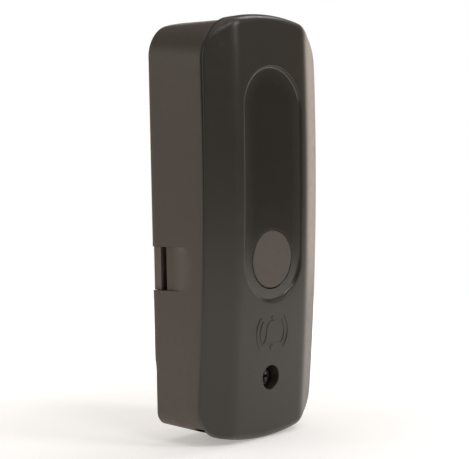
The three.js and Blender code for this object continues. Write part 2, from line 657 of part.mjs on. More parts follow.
function mainBoard() {
  const blank = box(-BOARD.halfWidth, BOARD.halfWidth, BOARD.back, BOARD.front, BOARD.bottom, BOARD.top);
  const holes = [-1, 1].flatMap((side) => [BOARD_POSTS.upper, BOARD_POSTS.lower].map((z) =>
    rod(BOARD.hole, BOARD.back - 1, BOARD.front + 1, side * BOARD_POSTS.x, z, 10)));
  const [outside, above] = [BOARD.halfWidth + 1, BOARD.top + 1];
  const corners = [-1, 1].map((side) => {
    const wedge = [[side * (outside - BOARD_CHAMFER.across), above], [side * outside, above],
      [side * outside, above - BOARD_CHAMFER.down]];
    return prism(shapeOf(wedge), BOARD.back - 1, BOARD.front + 1);
  });
  return cut(blank, ...holes, ...corners);
}

function switchBody() {
  const { half, front, well, wellFloor } = SWITCH;
  const body = centredBox(half, BOARD.front + GAP, front, WINDOW.lower - half, WINDOW.lower + half);
  return cut(body, rod(well, wellFloor, front + 1, 0, WINDOW.lower, 12));
}

function switchPlunger() {
  return rod(SWITCH.plunger, SWITCH.plungerBack, STEM.tip - GAP, 0, WINDOW.lower, 12);
}

function processorShield() {
  return centredBox(SHIELD.halfWidth, BOARD.front + GAP, SHIELD.front, SHIELD.bottom, SHIELD.top);
}

function wifiAntenna() {
  return centredBox(ANTENNA.halfWidth, ANTENNA.back, ANTENNA.front, ANTENNA.bottom, ANTENNA.top);
}

function cameraBracket() {
  const { z, pivotDepth } = CAMERA;
  const { halfWidth, halfHeight, opening, thickness, earOuter, earHalf, earRise, pivotHole } = CAMERA_BRACKET;
  const foot = BOARD.front + GAP;
  const base = cut(
    box(-halfWidth, halfWidth, foot, BOARD.front + thickness, z - halfHeight, z + halfHeight),
    box(-opening, opening, BOARD.front, foot + thickness, z - opening, z + opening),
  );
  const ears = [-1, 1].map((side) =>
    sideBox(side, opening, earOuter, foot, pivotDepth + earRise, z - earHalf, z + earHalf));
  const pivot = new THREE.CylinderGeometry(pivotHole, pivotHole, 2 * halfWidth, 16);
  pivot.rotateZ(Math.PI / 2);
  pivot.translate(0, -pivotDepth, z);
  return cut(join(base, ...ears), solid(pivot));
}

function cameraHousing() {
  const { z, pivotDepth, halfSize, back, front, pin, pinLength } = CAMERA;
  const body = box(-halfSize, halfSize, back, front, z - halfSize, z + halfSize);
  const pins = new THREE.CylinderGeometry(pin, pin, pinLength, 16);
  pins.rotateZ(Math.PI / 2);
  pins.translate(0, -pivotDepth, z);
  return join(body, solid(pins));
}

function lensBarrel() {
  const profile = [[0, 25.5], [4.4, 25.5], [4.4, 28.2], [4, 28.6], [3.1, 28.6], [3.1, 26.7], [0, 26.7]];
  return turned(profile, 0, CAMERA.z, 28);
}

function lensFront() {
  const profile = [[0, 27], [2.8, 27], [2.8, 27.4], [2, 28], [1, 28.3], [0, 28.4]];
  return turned(profile, 0, CAMERA.z, 20);
}

function sensorBoard() {
  const { half, back, front } = SENSOR_BOARD;
  return centredBox(half, back, front, CAMERA.z - half, CAMERA.z + half);
}

function infraredLed(x, z) {
  const { radius, tip } = INFRARED;
  const foot = BOARD.front + GAP;
  const profile = [
    [0, foot], [radius, foot], [radius, tip - radius], [0.8 * radius, tip - 0.4 * radius],
    [0.4 * radius, tip - 0.07 * radius], [0, tip],
  ];
  return turned(profile, x, z, 10);
}

function motionSensor() {
  const { z, capRadius, flangeRadius, capFront } = MOTION;
  const foot = BOARD.front + GAP;
  const flangeFront = foot + 0.7;
  const profile = [
    [0, foot], [flangeRadius, foot], [flangeRadius, flangeFront],
    [capRadius, flangeFront], [capRadius, capFront], [0, capFront],
  ];
  return turned(profile, 0, z, 20);
}

// A thin dome over the motion sensor; the outer skin runs in to the axis and the inner skin runs back out.
function motionLens() {
  const { z, lensRadius, lensInner } = MOTION;
  const foot = BOARD.front + GAP;
  const profile = [
    [lensInner, foot], [lensRadius, foot], [lensRadius, 24], [6.2, 26.6], [3.6, 28.3], [0, 28.8],
    [0, 28], [3.3, 27.5], [5.5, 26], [lensInner, 24], [lensInner, foot],
  ];
  return turned(profile, 0, z, 20);
}

function batteryPack() {
  const { halfWidth, bottom, top, back, front, corner } = BATTERY;
  const shape = new THREE.Shape();
  const quarter = Math.PI / 2;
  shape.absarc(halfWidth - corner, bottom + corner, corner, -quarter, 0, false);
  shape.absarc(halfWidth - corner, top - corner, corner, 0, quarter, false);
  shape.absarc(corner - halfWidth, top - corner, corner, quarter, 2 * quarter, false);
  shape.absarc(corner - halfWidth, bottom + corner, corner, 2 * quarter, 3 * quarter, false);
  return prism(shape, back, front, 4);
}

function terminalBlock() {
  const { left, right, back, front, bottom, top, screwZ, screws } = TERMINALS;
  const [wellRadius, wellFloor] = [2.1, front - 2.8];
  const body = box(left, right, back, front, bottom, top);
  const wells = screws.map((x) => rod(wellRadius, wellFloor, front + 1, x, screwZ, 12));
  const mouths = screws.map((x) =>
    box(x - 1.6, x + 1.6, back + 1.4, wellFloor - 1.6, bottom - 1, screwZ + 0.8));
  return cut(body, ...wells, ...mouths);
}

function terminalScrew(x) {
  const { front, screwZ } = TERMINALS;
  const [radius, headBack, headFront, slotHalf] = [1.8, front - 2.5, front - 1, 0.3];
  const head = rod(radius, headBack, headFront, x, screwZ, 12);
  return cut(head, box(x - 2, x + 2, headFront - 0.6, headFront + 0.6, screwZ - slotHalf, screwZ + slotHalf));
}

function speakerBody() {
  const { bottom, top, radius } = SPEAKER;
  const profile = [
    [0, bottom + 1.2], [radius - 2, bottom + 0.4], [radius - 1.6, bottom], [radius, bottom],
    [radius, bottom + 2], [radius - 1.6, top], [0, top],
  ];
  return turnedUpright(profile, SPEAKER.x, SPEAKER.depth, 28);
}

// A flat ring under a part that faces downwards.
function ringUnder(part, { outer, inner, bottom, top }, segments) {
  const profile = [[inner, bottom], [outer, bottom], [outer, top], [inner, top], [inner, bottom]];
  return turnedUpright(profile, part.x, part.depth, segments);
}

function cableGrommet() {
  const { x, z, hole, flange, back, front } = GROMMET;
  const neck = hole - GAP;
  const profile = [
    [0, back], [flange, back], [flange, FLOOR.back - GAP], [neck, FLOOR.back - GAP],
    [neck, FLOOR.front + GAP], [flange, FLOOR.front + GAP], [flange - 0.4, front], [0, front],
  ];
  return turned(profile, x, z, 16);
}

function microphoneBody() {
  const { radius, bottom, top, x, depth } = MICROPHONE;
  return turnedUpright([[0, bottom], [radius, bottom], [radius, top], [0, top]], x, depth, 16);
}

// ---------------------------------------------------------------- assembly

addPart('mount_plate', mountPlate(), 'plate');
addPart('rear_housing', rearHousing(), 'housing');
addPart('screw_insert', screwInsert(), 'brass');
addPart('cable_grommet', cableGrommet(), 'rubber');
HOUSING_SCREWS.forEach(([where, x, z]) =>
  addPart(`housing_screw_${where}`, panHeadScrew(HOUSING_SCREW, x, z, FLOOR.front + GAP), 'steel'));

addPart('front_cover', frontCover(), 'cover');
addPart('cover_seal', coverSeal(), 'rubber');
addPart('smoked_window', smokedWindow(), 'window');
addPart('window_gasket', windowGasket(), 'rubber');

addPart('call_button', callButton(), 'button');
addPart('button_seal', ringLayer(BUTTON_SEAL), 'rubber');
addPart('light_ring', ringLayer(LIGHT_RING), 'diffuser');
addPart('button_guide', buttonGuide(), 'blackPlastic');
addPart('button_spring', buttonSpring(), 'steel');
addPart('guide_screw_left', guideScrew(-GUIDE_EAR.reach), 'steel');
addPart('guide_screw_right', guideScrew(GUIDE_EAR.reach), 'steel');

addPart('cover_screw', panHeadScrew(COVER_SCREW, 0, SCREW_Z, COVER_SCREW.headBack), 'steel');
addPart('screw_seal', screwSeal(), 'rubber');

addPart('main_board', mainBoard(), 'board');
[['left', -1], ['right', 1]].forEach(([where, side]) =>
  [['upper', BOARD_POSTS.upper], ['lower', BOARD_POSTS.lower]].forEach(([level, z]) =>
    addPart(`board_screw_${level}_${where}`,
      panHeadScrew(BOARD_SCREW, side * BOARD_POSTS.x, z, BOARD.front + GAP), 'steel')));
addPart('battery_pack', batteryPack(), 'pouch');
addPart('switch_body', switchBody(), 'blackPlastic');
addPart('switch_plunger', switchPlunger(), 'button');
addPart('processor_shield', processorShield(), 'tin');
addPart('wifi_antenna', wifiAntenna(), 'flex');
addPart('camera_bracket', cameraBracket(), 'blackPlastic');
addPart('camera_housing', cameraHousing(), 'blackPlastic');
addPart('sensor_board', sensorBoard(), 'board');
addPart('lens_barrel', lensBarrel(), 'blackPlastic');
addPart('lens_front', lensFront(), 'glass');
INFRARED.levels.forEach(([level, z]) =>
  [['left', -1], ['right', 1]].forEach(([where, side]) =>
    addPart(`infrared_led_${level}_${where}`, infraredLed(side * INFRARED.x, z), 'glass')));
addPart('motion_sensor', motionSensor(), 'tin');
addPart('motion_lens', motionLens(), 'diffuser');
addPart('terminal_block', terminalBlock(), 'terminal');
addPart('terminal_screw_left', terminalScrew(TERMINALS.screws[0]), 'brass');
addPart('terminal_screw_right', terminalScrew(TERMINALS.screws[1]), 'brass');
addPart('speaker', speakerBody(), 'blackPlastic');
addPart('speaker_gasket', ringUnder(SPEAKER, SPEAKER_GASKET, 24), 'rubber');
addPart('microphone', microphoneBody(), 'tin');
addPart('microphone_seal', ringUnder(MICROPHONE, MICROPHONE_SEAL, 16), 'rubber');

export default group;
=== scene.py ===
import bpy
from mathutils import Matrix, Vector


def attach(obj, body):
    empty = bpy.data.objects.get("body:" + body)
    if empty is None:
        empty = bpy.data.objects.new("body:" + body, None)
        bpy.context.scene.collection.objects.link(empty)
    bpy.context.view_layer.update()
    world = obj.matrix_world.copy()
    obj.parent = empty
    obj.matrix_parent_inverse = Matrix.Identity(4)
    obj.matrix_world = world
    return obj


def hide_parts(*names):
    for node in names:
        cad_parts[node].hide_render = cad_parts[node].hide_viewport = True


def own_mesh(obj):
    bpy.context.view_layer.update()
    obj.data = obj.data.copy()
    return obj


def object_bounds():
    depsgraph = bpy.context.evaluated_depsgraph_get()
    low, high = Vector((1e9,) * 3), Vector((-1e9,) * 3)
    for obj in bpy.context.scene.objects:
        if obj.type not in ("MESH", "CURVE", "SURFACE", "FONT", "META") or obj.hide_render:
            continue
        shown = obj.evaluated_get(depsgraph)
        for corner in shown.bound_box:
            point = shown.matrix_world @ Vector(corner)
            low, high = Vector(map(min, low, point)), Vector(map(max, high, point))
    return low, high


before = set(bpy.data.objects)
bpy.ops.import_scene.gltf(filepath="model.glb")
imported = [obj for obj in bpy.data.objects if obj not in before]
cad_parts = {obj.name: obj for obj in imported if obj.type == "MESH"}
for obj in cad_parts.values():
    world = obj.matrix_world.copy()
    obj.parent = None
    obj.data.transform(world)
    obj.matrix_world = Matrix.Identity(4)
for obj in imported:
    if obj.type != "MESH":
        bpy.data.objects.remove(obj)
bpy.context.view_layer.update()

import math
from types import SimpleNamespace as Dims

import bmesh
import bpy
import numpy as np
from mathutils import Matrix, Vector
from mathutils.geometry import delaunay_2d_cdt

# Shapes are worked out in millimetres in the CAD frame and scaled to metres when a mesh is made.
MM = 0.001
STEP = 0.01                      # half the width of a steep step in a height field

# ---------------- driving dimensions, mm

HALF_HEIGHT = 75.0

# Outlines of the cover, of the housing against the wall, and of the housing at MOUTH_DEPTH.
COVER_OUTLINE = Dims(
    half=29.4, top=75.0, bottom=75.0, arch_top=5.2, arch_bottom=5.1, corner_top=12.4, corner_bottom=9.2)
REAR_OUTLINE = Dims(
    half=28.7, top=75.0, bottom=73.0, arch_top=5.2, arch_bottom=5.1, corner_top=8.6, corner_bottom=3.2)
MOUTH_OUTLINE = Dims(
    half=29.0, top=74.0, bottom=74.4, arch_top=5.2, arch_bottom=5.1, corner_top=12.0, corner_bottom=8.8)
MOUTH_DEPTH = 27.0
SMALLEST_CORNER = 0.6

# Depth of the parting line and of the ridge: at mid height, its slope upwards and its bulge.
PARTING = (27.1, 3.0, 2.95)
CREASE = (32.4, 2.7, 2.45)
CREASE_HALF_WIDTH = 18.1
CREASE_SOFTNESS = 0.4
FRONT_CROWN = 0.16

COVER_WALL = 1.9
COVER_RIM = 0.5                  # the rim stands this far behind the parting line
COVER_RIM_WIDTH = 2.4
GROOVE_HEIGHTS = (-30.0, 40.0)   # the parting groove widens between these heights
GROOVE_WIDTHS = (0.4, 1.0)
END_FILLET = 3.0                 # edge fillet where the cover's edge is tallest
SIDE_FILLET = 0.38               # edge fillet where its flanks run out low
FILLET_GROWTH = (0.8, -0.1, 0.25)    # with the height of the edge, offset, with the distance from it
TONGUE = (3.8, 5.0, 3.4)         # outer and inner inset from the mouth, reach behind the parting line

STADIUM = Dims(half=14.87, lower=-10.9, upper=41.9)
STADIUM_EDGE = 0.6
RECESS = 1.0
POCKET_HALF = 17.6
POCKET_WALL = 0.7

SCREW_Z = -53.0
SCREW_HOLE = 2.0
BORE_RADIUS = 4.3
BORE_FLOOR = 22.4
BORE_EDGE = 0.3
TUBE_RADIUS = 5.8
TUBE_TIP = 19.9
POST_X = 20.2
POST_RADIUS = 2.2
POST_TIP = 25.6
POST_HOLE = 0.9
POST_HOLE_DEPTH = 2.4

EMBLEM_Z = -37.4
EMBLEM_HEIGHT = 0.24
EMBLEM_EDGE = 0.16
BELL = Dims(radius=3.3, shoulder=1.6, flare=1.9, height=5.0)
KNOB = Dims(radius=0.75, rise=5.75)
CLAPPER = Dims(radius=1.15, drop=4.9)
SOUND_ARCS = Dims(radii=(6.3, 8.2), half_width=0.35, half_turn=0.75, rise=0.4)

WINDOW_HALF = 16.2
WINDOW_THICKNESS = 1.4
WINDOW_EDGE = 0.15
WINDOW_LIP = (0.45, 0.5)         # how far the window rises against the rim of its recess, over what width
LIP_GAP = 0.05
PAINTED_SHEEN_WIDTH = 6.0                   # width over which the window's colour is painted lighter towards the lip: a painted sheen for the light its rim catches
PAINTED_SHEEN_POWER = 1.5

BUTTON_Z = STADIUM.lower
BUTTON_RADIUS = 10.2
BUTTON_HOLE = 10.45
BUTTON_SUNK = 0.75
BUTTON_EDGE = 0.5
FLANGE_RADIUS = 11.5
FLANGE_FRONT = 27.4
FLANGE_BACK = 26.2
STEM_RADIUS = 2.0
STEM_TIP = 21.4
SPRING = Dims(radius=5.5, wire=0.35, turns=3, flat=0.4, back=23.45, front=25.65, kept=0.72)

HOUSING_WALL = 2.2
FLOOR_BACK = 7.5
FLOOR_FRONT = 9.3
FLOOR_CUT = (5, 12)              # depths between which the floor is pierced
END_CUT = (-80, -66)             # heights between which the bottom wall is pierced
NOTCH = Dims(
    top=-5.6, bottom=-21.0, inner=22, depth=6.3, recess=0.9, scoop_start=8.7, scoop_end=16.2, scoop_bulge=4.6)
HEEL_DEPTH = 0.7
HEEL_TOP = -45.0
HEEL_BOTTOM = -49.0
SLIT = Dims(z=-69.6, mouth_z=-69, height=1.1, length=5.5, inner=21, outer=32)
SOUND_SLOTS = Dims(count=5, pitch=2.2, half_width=0.6, half_length=4.5, taper=0.5)
SPEAKER = Dims(x=-13.5, depth=16)
MICROPHONE = Dims(x=14.5, depth=15, hole=0.8)
GROMMET = Dims(x=17, z=-46.6, radius=3.6)
PLATE_SCREWS = {"left": (-20, 63.5), "right": (20, 63.5), "lower": (-12, -49)}
PLATE_SCREW_HOLE = 1.8
BOSS_RADIUS = 4.4
BOSS_FRONT = 19.3
BOSS_BORE = 3.1
BOSS_FLOOR = 11

BOARD_BACK = 15.8
BOARD_FRONT = 17.4
BOARD_GAP = 0.3
BOARD_SCREW_X = {"left": -23, "right": 23}
BOARD_SCREW_Z = {"upper": 58, "lower": -40}
BOARD_POSTS = [(x, z) for z in BOARD_SCREW_Z.values() for x in BOARD_SCREW_X.values()]
BOARD_POST_RADIUS = 2.0
BOARD_POST_HOLE = 1.0

COVER_SCREW = dict(head_radius=3.5, head_back=23.6, head_front=26.0, shank_radius=1.7, tip=12.9)
PLATE_SCREW = dict(head_radius=2.7, head_back=9.6, head_front=11.3, shank_radius=1.4, tip=3)
BOARD_SCREW = dict(head_radius=2.1, head_back=17.7, head_front=19.1, shank_radius=0.8, tip=11)

CAMERA_Z = 42.0
MOTION_Z = 17.0
LED_X = {"left": -7.5, "right": 7.5}
LED_Z = {"upper": 52.6, "lower": 31.3}

OVERCUT = 1.0                    # cutting tools reach this far past a surface
OVERLAP = 0.5                    # joined bodies reach this far into each other
AXIS_RADIUS = 0.02               # stands for the axis of a turned piece

# ---------------- camera, floor and light

# Camera place in mm, its yaw, pitch and roll in degrees, and its lens and sensor in mm.
CAMERA_PLACE = (-330.12, -323.43, 18.49)
CAMERA_TURN = (46.774, 2.425, -1.150)
CAMERA_LENS = 95.94
CAMERA_SENSOR = 36
CAMERA_CLIP = (0.01, 20)         # m

# Strength of the surroundings and of the white backdrop low down behind, the side it stands on, how far
# round it fades in, and how high up it fades out.
DIM = 0.142
BACKDROP = 2.1
BACKDROP_LEAN = (0.7, 0.714, 0.0)
BACKDROP_EDGE = (0.3, 0.6)
BACKDROP_TOP = (0.22, 0.5)

# The floor's own light near the object and further out, and the point in m it spreads from: as the
# camera sees it, lower near the object so that it paints shade round the base, and as the object feels it.
FLOOR_RADIUS = 0.5
FLOOR_SEEN_WITH_PAINTED_SHADE = (0.34, 0.85, (0, 0, 0))
FLOOR_FELT = (0.43, 0.7, (0, -0.06, 0))
FLOOR_FADE = (0.08, 0.24)
WARM_WHITE = (1.0, 0.88, 0.77, 1.0)
PAPER_WHITE = (1.0, 0.97, 0.94, 1.0)
PAPER = (231.115, 231.115, 231.115)

# Name, azimuth and elevation in degrees, distance, width and height in m, power, and target in m.
LIGHTS = [
    ("overhead", 0, 90, 2.4, 3.0, 3.0, 22, (0, 0, 0)),
    ("key_light", 80, 50, 1.2, 0.3, 0.3, 1.9, (0, 0, 0)),
    ("rim_light", -14, 47, 1.2, 0.3, 0.3, 1.5, (0, 0, 0)),
    ("strip", 18, 26, 0.6, 0.14, 0.26, 1.05, (0, 0, 0.07)),
    ("left_fill", -80, 20, 1.3, 0.9, 0.9, 0.75, (0, 0, 0)),
    ("left_back", -122, 18, 1.2, 0.7, 0.6, 2.1, (0, 0, 0)),
]


# ---------------- depth formulas

def along(curve, z):
    """Value at height z of a curve given at mid height, by its slope and by its bulge."""
    s = z / HALF_HEIGHT
    return curve[0] + curve[1] * s - curve[2] * s * s


def face_depth(x, z):
    """Depth of the cover's outer face: a nearly flat front that runs softly into two sloping flanks."""
    x, z = np.abs(np.asarray(x, float)), np.asarray(z, float)
    ridge = along(CREASE, z)
    front = ridge + FRONT_CROWN * (1 - (x / CREASE_HALF_WIDTH) ** 2)
    share = (x - CREASE_HALF_WIDTH) / (COVER_OUTLINE.half - CREASE_HALF_WIDTH)
    flank = ridge + (along(PARTING, z) - ridge) * share
    low = np.minimum(front, flank)
    return low - CREASE_SOFTNESS * np.log(
        np.exp((low - front) / CREASE_SOFTNESS) + np.exp((low - flank) / CREASE_SOFTNESS))


# ---------------- outlines in the XZ plane

def outline(spec, inset=0.0, corner_steps=14, arch_steps=44, side_steps=60):
    """Counter-clockwise outline: two shallow arches, four round corners and two straight sides."""
    half = spec.half - inset

    def end(peak, arch, corner):
        radius = max(corner - inset, SMALLEST_CORNER)
        flat = half - radius
        bend = arch * (half / spec.half) ** 2
        beyond = radius * np.sin(np.linspace(0.5 * math.pi, 0, corner_steps, endpoint=False))
        x = np.concatenate([flat + beyond, np.linspace(flat, -flat, arch_steps), -(flat + beyond)[::-1]])
        over = np.clip(np.abs(x) - flat, 0, radius)
        drop = radius - np.sqrt(radius ** 2 - over ** 2)
        return np.stack([x, peak - inset - bend * (x / half) ** 2 - drop], 1)

    top = end(spec.top, spec.arch_top, spec.corner_top)
    bottom = -end(spec.bottom, spec.arch_bottom, spec.corner_bottom)
    share = np.linspace(0, 1, side_steps + 1)[1:-1, None]
    left = top[-1] + (bottom[0] - top[-1]) * share
    right = bottom[-1] + (top[0] - bottom[-1]) * share
    return np.concatenate([top, left, bottom, right])


def stadium(half, steps=48, side_steps=53):
    turn = np.linspace(0, math.pi, steps)
    upper = np.stack([half * np.cos(turn), STADIUM.upper + half * np.sin(turn)], 1)
    lower = np.stack([-half * np.cos(turn), STADIUM.lower - half * np.sin(turn)], 1)
    share = np.linspace(0, 1, side_steps + 1)[1:-1, None]
    left = upper[-1] + (lower[0] - upper[-1]) * share
    right = lower[-1] + (upper[0] - lower[-1]) * share
    return np.concatenate([upper, left, lower, right])


def circle(radius, x=0.0, z=0.0, steps=48):
    turn = np.linspace(0, 2 * math.pi, steps, endpoint=False)
    return np.stack([x + radius * np.cos(turn), z + radius * np.sin(turn)], 1)


# ---------------- distances

def loop_distance(points, loop):
    """Signed distance to a closed loop, positive inside."""
    a, b = loop, np.roll(loop, -1, 0)
    best = np.full(len(points), np.inf)
    inside = np.zeros(len(points), bool)
    for (ax, az), (bx, bz) in zip(a, b):
        dx, dz = bx - ax, bz - az
        px, pz = points[:, 0] - ax, points[:, 1] - az
        share = np.clip((px * dx + pz * dz) / max(dx * dx + dz * dz, 1e-12), 0, 1)
        best = np.minimum(best, (px - share * dx) ** 2 + (pz - share * dz) ** 2)
        crosses = (az > points[:, 1]) != (bz > points[:, 1])
        if az != bz:
            inside ^= crosses & (points[:, 0] < ax + (points[:, 1] - az) * dx / dz)
    return np.where(inside, 1, -1) * np.sqrt(best)


def stadium_distance(points):
    """Distance from the stadium's centre line."""
    nearest = np.clip(points[:, 1], STADIUM.lower, STADIUM.upper)
    return np.hypot(points[:, 0], points[:, 1] - nearest)


def radius_from(points, x, z):
    return np.hypot(points[:, 0] - x, points[:, 1] - z)


def edge_drop(distance, radius):
    """How far a rounded edge falls below its face, at a distance in from the edge."""
    inside = np.clip(radius - distance, 0, radius)
    return radius - np.sqrt(np.maximum(radius ** 2 - inside ** 2, 0))


def smooth_step(value):
    share = np.clip(value, 0, 1)
    return share * share * (3 - 2 * share)


# ---------------- mesh helpers

SHARP_ANGLE = 32.0               # degrees between faces above which an edge stays sharp


def make_object(name, verts, faces):
    mesh = bpy.data.meshes.new(name)
    places = [tuple(v) for v in np.asarray(verts, float) * MM]
    mesh.from_pydata(places, [], [tuple(map(int, f)) for f in faces])
    mesh.update()
    piece = bpy.data.objects.new(name, mesh)
    bpy.context.scene.collection.objects.link(piece)
    finish_normals(piece)
    return piece


def finish_normals(piece):
    work = bmesh.new()
    work.from_mesh(piece.data)
    bmesh.ops.remove_doubles(work, verts=work.verts, dist=1e-7)
    bmesh.ops.recalc_face_normals(work, faces=work.faces)
    work.to_mesh(piece.data)
    work.free()
    for polygon in piece.data.polygons:
        polygon.use_smooth = True
    piece.data.set_sharp_from_angle(angle=math.radians(SHARP_ANGLE))


def triangulate(loops, extra, keep):
    """Triangles over the points of the loops and the extra points; keep says which triangle centres stay."""
    points, edges = [], []
    for loop in loops:
        start = sum(map(len, points))
        points.append(loop)
        edges += [(start + i, start + (i + 1) % len(loop)) for i in range(len(loop))]
    points = np.concatenate(points + ([extra] if len(extra) else []))
    verts, _, faces, *_ = delaunay_2d_cdt([Vector(p) for p in points], edges, [], 0, 1e-5)
    verts = np.array([tuple(v) for v in verts])
    faces = np.array([tuple(f) for f in faces])
    return verts, faces[keep(verts[faces].mean(1))]


def at_depth(flat, depth):
    """Points of the XZ plane moved out to one depth, or each to its own."""
    return np.stack([flat[:, 0], np.full(len(flat), -depth, float), flat[:, 1]], 1)


def double_height_field(name, flat, faces, outer, inner):
    """A closed shell between two depths over one triangulated area."""
    count = len(flat)
    front, back = at_depth(flat, outer), at_depth(flat, inner)
    directed = {}
    for a, b, c in faces:
        for edge in ((a, b), (b, c), (c, a)):
            directed[edge] = True
    rim = [(a, b) for a, b in directed if (b, a) not in directed]
    skin = [tuple(f) for f in faces]
    skin += [(a + count, c + count, b + count) for a, b, c in faces]
    skin += [(b, a, a + count, b + count) for a, b in rim]
    return make_object(name, np.concatenate([front, back]), skin)


def grid_about(middle, half_width, half_height, spacing):
    """Staggered grid of points about a point on the centre line."""
    x = np.arange(-half_width, half_width + spacing / 2, spacing)
    z = np.arange(middle - half_height, middle + half_height + spacing / 2, spacing)
    xx, zz = np.meshgrid(x, z)
    xx[1::2] += spacing / 2
    return np.stack([xx.ravel(), zz.ravel()], 1)


def steps_at(make_loop, value):
    """Two loops just either side of a steep step."""
    return [make_loop(value - STEP), make_loop(value + STEP)]


# ---------------- front cover

# Insets and widenings of the loops that carry rounded edges.
FILLET_INSETS = (0.05, 0.15, 0.3, 0.5, 0.8, 1.2, 1.7, 2.2, 2.7, 3.2)
RECESS_LOOPS = (0, 0.04, 0.11, 0.2, 0.32, 0.46, 0.8)
BORE_LOOPS = (-STEP, STEP, 0.05, 0.12, 0.22, 0.36, 0.6)


def bell_outline():
    """Outline of a plain handbell, without its clapper."""
    radius, shoulder = BELL.radius, EMBLEM_Z + BELL.shoulder
    turn = np.linspace(0, math.pi, 25)
    dome = np.stack([radius * np.cos(turn), shoulder + radius * np.sin(turn)], 1)
    drop = np.linspace(0, 1, 12)[1:]
    left = np.stack([-radius - BELL.flare * drop ** 3, shoulder - BELL.height * drop], 1)
    right = left[::-1] * (-1, 1)
    return np.concatenate([dome, left, right])


def emblem_loops():
    """Loops of the raised emblem: a bell with its knob and clapper between two arcs of sound."""
    knob = circle(KNOB.radius, 0, EMBLEM_Z + KNOB.rise, 20)
    clapper = circle(CLAPPER.radius, 0, EMBLEM_Z - CLAPPER.drop, 24)
    loops = [bell_outline(), knob, clapper]
    turn = np.linspace(-SOUND_ARCS.half_turn, SOUND_ARCS.half_turn, 15)
    half_width, middle = SOUND_ARCS.half_width, EMBLEM_Z + SOUND_ARCS.rise
    for side in (-1, 1):
        for radius in SOUND_ARCS.radii:
            inner, outer = [
                np.stack([side * r * np.cos(turn), middle + r * np.sin(turn)], 1)
                for r in (radius - half_width, radius + half_width)]
            loops.append(np.concatenate([inner, outer[::-1]]))
    return loops


def build_cover():
    """Faceted cover with its recess, emblem and counterbore, and its tongue, tube and posts behind."""
    edge = outline(COVER_OUTLINE)
    emblem = emblem_loops()
    loops = [edge] + [outline(COVER_OUTLINE, inset) for inset in FILLET_INSETS]
    loops += steps_at(lambda inset: outline(COVER_OUTLINE, inset), COVER_RIM_WIDTH)
    for inset in TONGUE[:2]:
        loops += steps_at(lambda value: outline(MOUTH_OUTLINE, value), inset)
    loops += [stadium(STADIUM.half + out) for out in RECESS_LOOPS]
    loops += steps_at(stadium, POCKET_HALF)
    loops += [circle(SCREW_HOLE, 0, SCREW_Z, 32)]
    loops += [circle(BORE_RADIUS + out, 0, SCREW_Z, 64) for out in BORE_LOOPS]
    loops += steps_at(lambda radius: circle(radius, 0, SCREW_Z, 64), TUBE_RADIUS)
    for side in (-1, 1):
        for radius in (POST_HOLE, POST_RADIUS):
            loops += steps_at(lambda value: circle(value, side * POST_X, BUTTON_Z, 28), radius)
    loops += emblem + [shrink(loop, EMBLEM_EDGE) for loop in emblem]

    edge_margin, recess_margin, loop_margin = 3.4, 1.0, 0.12
    spread = np.concatenate([grid_about(0, 29, 74, 0.85), grid_about(EMBLEM_Z, 10, 8, 0.45)])
    clear = loop_distance(spread, edge) > edge_margin
    clear &= stadium_distance(spread) > STADIUM.half + recess_margin
    for loop in loops[1 + len(FILLET_INSETS):]:
        clear &= np.abs(loop_distance(spread, loop)) > loop_margin
    spread = spread[clear]

    def keep(centres):
        inside = loop_distance(centres, edge) > 0
        inside &= stadium_distance(centres) > STADIUM.half - 0.01 * STEP
        return inside & (radius_from(centres, 0, SCREW_Z) > SCREW_HOLE - 2 * STEP)

    flat, faces = triangulate(loops, spread, keep)
    outer, inner = cover_front(flat, edge, emblem), cover_back(flat, edge)
    return double_height_field("cover_shell", flat, faces, outer, inner)


def shrink(loop, amount):
    """A loop moved inwards along its normals."""
    ahead, behind = np.roll(loop, -1, 0), np.roll(loop, 1, 0)
    tangent = ahead - behind
    tangent /= np.linalg.norm(tangent, axis=1)[:, None]
    normal = np.stack([-tangent[:, 1], tangent[:, 0]], 1)
    moved = loop + normal * amount
    area = 0.5 * np.sum(loop[:, 0] * ahead[:, 1] - ahead[:, 0] * loop[:, 1])
    return moved if area > 0 else loop - normal * amount


def cover_front(flat, edge, emblem):
    """Depth of the cover's outer side at flat points."""
    depth = face_depth(flat[:, 0], flat[:, 1])
    distance = np.maximum(loop_distance(flat, edge), 0)
    height = depth - along(PARTING, flat[:, 1])
    with_height, offset, with_distance = FILLET_GROWTH
    fillet = np.clip(with_height * height + offset + with_distance * distance, SIDE_FILLET, END_FILLET)
    depth = depth - edge_drop(distance, fillet)
    depth = depth - edge_drop(np.maximum(stadium_distance(flat) - STADIUM.half, 0), STADIUM_EDGE)
    bore = radius_from(flat, 0, SCREW_Z)
    depth = depth - edge_drop(np.maximum(bore - BORE_RADIUS, 0), BORE_EDGE)
    for loop in emblem:
        depth = depth + EMBLEM_HEIGHT * smooth_step(loop_distance(flat, loop) / EMBLEM_EDGE)
    return np.where(bore < BORE_RADIUS, BORE_FLOOR, depth)


def cover_back(flat, edge):
    """Depth of the cover's inner side at flat points."""
    parting = along(PARTING, flat[:, 1])
    rim = parting - COVER_RIM
    wall = np.where(stadium_distance(flat) < POCKET_HALF, POCKET_WALL, COVER_WALL)
    behind = np.maximum(face_depth(flat[:, 0], flat[:, 1]) - wall, rim)
    depth = np.where(loop_distance(flat, edge) < COVER_RIM_WIDTH, rim, behind)
    outer_inset, inner_inset, reach = TONGUE
    mouth = loop_distance(flat, outline(MOUTH_OUTLINE))
    depth = np.where((mouth > outer_inset) & (mouth < inner_inset), parting - reach, depth)
    depth = np.where(radius_from(flat, 0, SCREW_Z) < TUBE_RADIUS, TUBE_TIP, depth)
    for side in (-1, 1):
        post = radius_from(flat, side * POST_X, BUTTON_Z)
        depth = np.where(post < POST_RADIUS, POST_TIP, depth)
        depth = np.where(post < POST_HOLE, POST_TIP + POST_HOLE_DEPTH, depth)
    return depth


# ---------------- smaller height-field pieces

